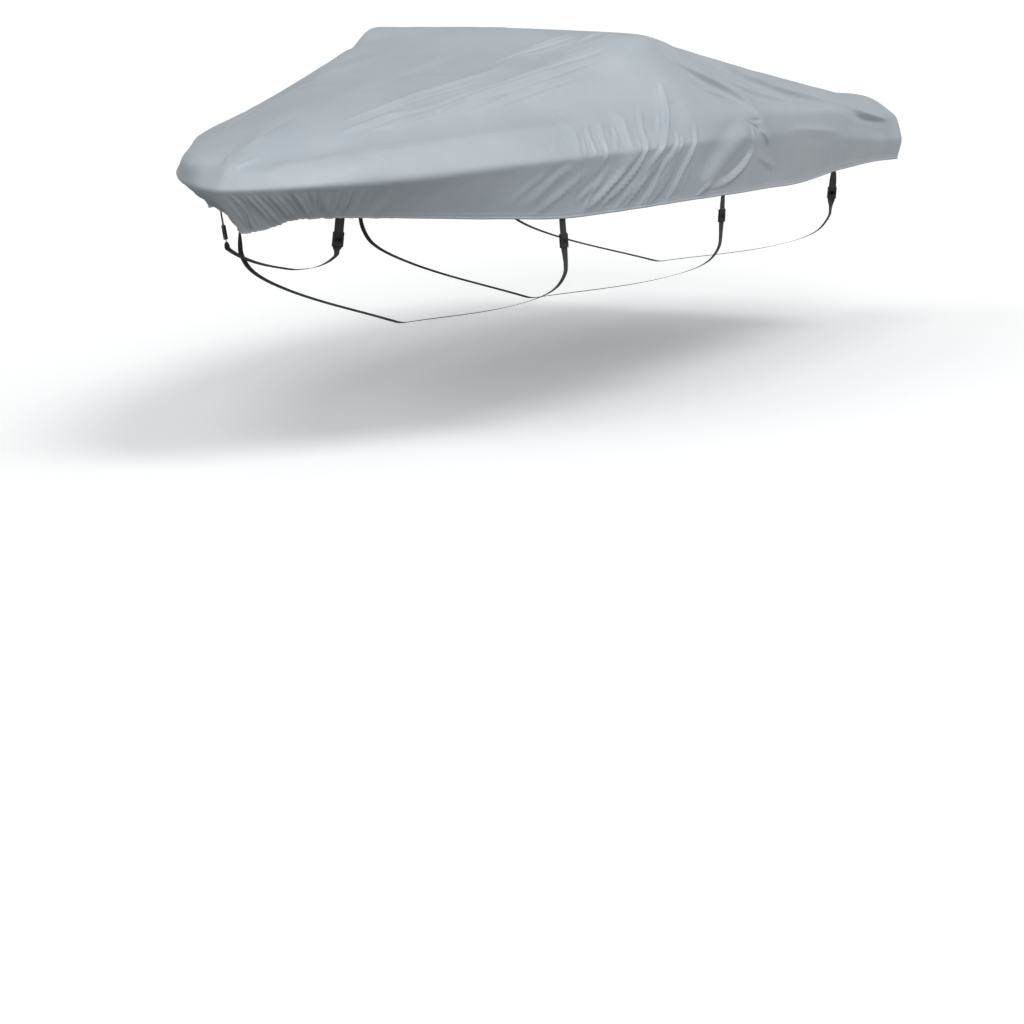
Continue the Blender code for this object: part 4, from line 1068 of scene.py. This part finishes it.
WEBBING = webbing_finish()
LOOPED = int(LOOP_BACK / WEB_STEP) + 1  # points on the end that is folded back
buckle_frames = {}
loop_ends = []
for number, (keel_x, *hull) in KEEL_RUNS.items():
    halves = []
    for label, side in (("port", -1), ("starboard", 1)):
        at_hem, across, down, fall, turned, top, bearing = (
            Vector(v) for v in STRAP_ENDS[number, label])
        below = at_hem + down * HEM_CLEAR
        upper = [at_hem - down * WEB_TOP, at_hem - down * WEB_TOP / 2, at_hem, below,
                 below.lerp(top, 0.5), top - fall * TOUCH]
        route = resample([(*p, t) for p, t in zip(upper, TURNS)])
        widths = [across.lerp(turned, float(t)) for t in np.clip(route[:, 3], 0, 1)]
        out = turned.cross(fall)
        proud = np.array(out) * side * (WEB_THICK + LOOP_GAP)
        bm = bmesh.new()
        webbing(bm, route[:, :3], widths)
        webbing(bm, route[-LOOPED:, :3] + proud, widths[-LOOPED:])
        make_web(f"strap_{number}_{label}_webbing", bm, f"strap_{number}_{label}_web")
        loop_ends.append((route[-LOOPED:, :3] + proud * BARS_OUT, widths[-LOOPED:], out * side))
        buckle_frames[number, label] = (top, turned, fall, out)
        aft = turned if turned.x > 0 else -turned
        run = [(*(top + fall * (SOCKET_LENGTH + PLUG_LENGTH)), *aft), (*bearing, 1.0, 0.0, 0.0)]
        for breadth, height in hull:
            share = 1 - breadth / abs(bearing.y)
            run.append((bearing.x + (keel_x - bearing.x) * share, side * breadth, height,
                        1.0, 0.0, 0.0))
        halves.append(resample(run))
    whole = np.concatenate([halves[0], halves[1][-2::-1]])
    route = whole[:, :3].copy()
    for _ in range(SLACK):
        route[1:-1] = (route[:-2] + 2 * route[1:-1] + route[2:]) / 4
    bm = bmesh.new()
    webbing(bm, route, whole[:, 3:])
    make_web(f"strap_{number}_under_webbing", bm, f"strap_{number}_under_web")

# The loop's end is sewn down over the webbing with two bars of stitches.
bars = []
for route, widths, out in loop_ends:
    for point in BAR_POINTS:
        centre, across = Vector(route[point]), widths[point].normalized()
        out = (out - across * out.dot(across)).normalized()
        line = [centre + across * float(x) for x in np.linspace(-BAR_HALF, BAR_HALF, 5)]
        bars.append((np.array(line) + SHEET_ORIGIN, np.array([out] * len(line))))
make_stitches("strap_stitches", bars, plain_finish("strap_thread", (0.16, 0.16, 0.165), 0.55)[0],
              "strap_webbing")

# ---------------------------------------------------------------- side-release buckles
# Moulded in black acetal: a socket that the upper webbing's loop holds, and a plug with two
# sprung arms that click into the socket's sides.  The webbing passes through slots at both ends.
BUCKLE_HALF = 0.047 / 2
BUCKLE_THICK = 0.012
BUCKLE_EDGE = 0.002
SOCKET_BLOCK = 0.017
CORE_HALF = 0.029 / 2
CORE_END = SOCKET_BLOCK + 0.024
ARM_INSIDE = BUCKLE_HALF - 0.0075
ARM_TIP = SOCKET_BLOCK + TOUCH
PLUG_SHOULDER = CORE_END + TOUCH
PLUG_END = PLUG_SHOULDER + 0.019
PANEL_SUNK = 0.0008  # panels in the front and back: depth, margin and slope
PANEL_MARGIN = 0.0022
PANEL_SLOPE = 0.0006
PANEL_AREA = 0.00018  # the least face that has one
FLAT = 0.99
# Outlines, as corners across and down from the middle of the buckle's top
OUTLINES = {
    "socket": [(-BUCKLE_HALF, 0), (BUCKLE_HALF, 0), (BUCKLE_HALF, SOCKET_BLOCK),
               (CORE_HALF, SOCKET_BLOCK), (CORE_HALF, CORE_END), (-CORE_HALF, CORE_END),
               (-CORE_HALF, SOCKET_BLOCK), (-BUCKLE_HALF, SOCKET_BLOCK)],
    "plug": [(-BUCKLE_HALF, ARM_TIP), (-ARM_INSIDE, ARM_TIP), (-ARM_INSIDE, PLUG_SHOULDER),
             (ARM_INSIDE, PLUG_SHOULDER), (ARM_INSIDE, ARM_TIP), (BUCKLE_HALF, ARM_TIP),
             (BUCKLE_HALF, PLUG_END), (-BUCKLE_HALF, PLUG_END)],
}


def moulded_finish():
    """Black acetal with a fine spark-eroded grain."""
    finish, shader = plain_finish("buckle_plastic", (0.014, 0.014, 0.015), 0.38)
    tree = finish.node_tree
    set_inputs(shader, {
        "Roughness": from_to(tree, speckle(tree, 70.0, 4.0), 0.30, 0.48),
        "Normal": bump(tree, speckle(tree, 900.0, 3.0), 0.25, 0.0002),
    })
    return finish


def moulding(outline, top, across, down, out):
    """A flat moulding from an outline, with rounded edges and a sunk panel in its front and
    back, at its place in a buckle."""
    bm = bmesh.new()
    face = bm.faces.new([bm.verts.new((x, y, -BUCKLE_THICK / 2)) for x, y in outline])
    raised = bmesh.ops.extrude_face_region(bm, geom=[face])
    tops = [item for item in raised["geom"] if isinstance(item, bmesh.types.BMVert)]
    bmesh.ops.translate(bm, verts=tops, vec=(0, 0, BUCKLE_THICK))
    bmesh.ops.recalc_face_normals(bm, faces=bm.faces)
    bmesh.ops.bevel(bm, geom=bm.edges[:], affect="EDGES", offset=BUCKLE_EDGE, segments=3,
                    profile=0.5, material=-1)
    flats = [f for f in bm.faces if abs(f.normal.z) > FLAT and f.calc_area() > PANEL_AREA]
    bmesh.ops.inset_individual(bm, faces=flats, thickness=PANEL_MARGIN, depth=0.0)
    bmesh.ops.inset_individual(bm, faces=flats, thickness=PANEL_SLOPE, depth=-PANEL_SUNK)
    for vert in bm.verts:
        x, y, z = vert.co
        vert.co = top + across * x + down * y + out * z
    return bm


MOULDED = moulded_finish()
for (number, label), buckle_frame in buckle_frames.items():
    for part, outline in OUTLINES.items():
        piece = make_piece(f"strap_{number}_{label}_buckle_{part}",
                           moulding(outline, *buckle_frame), MOULDED, slot="buckle_plastic")
        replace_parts(piece, f"strap_{number}_{label}_{part}")
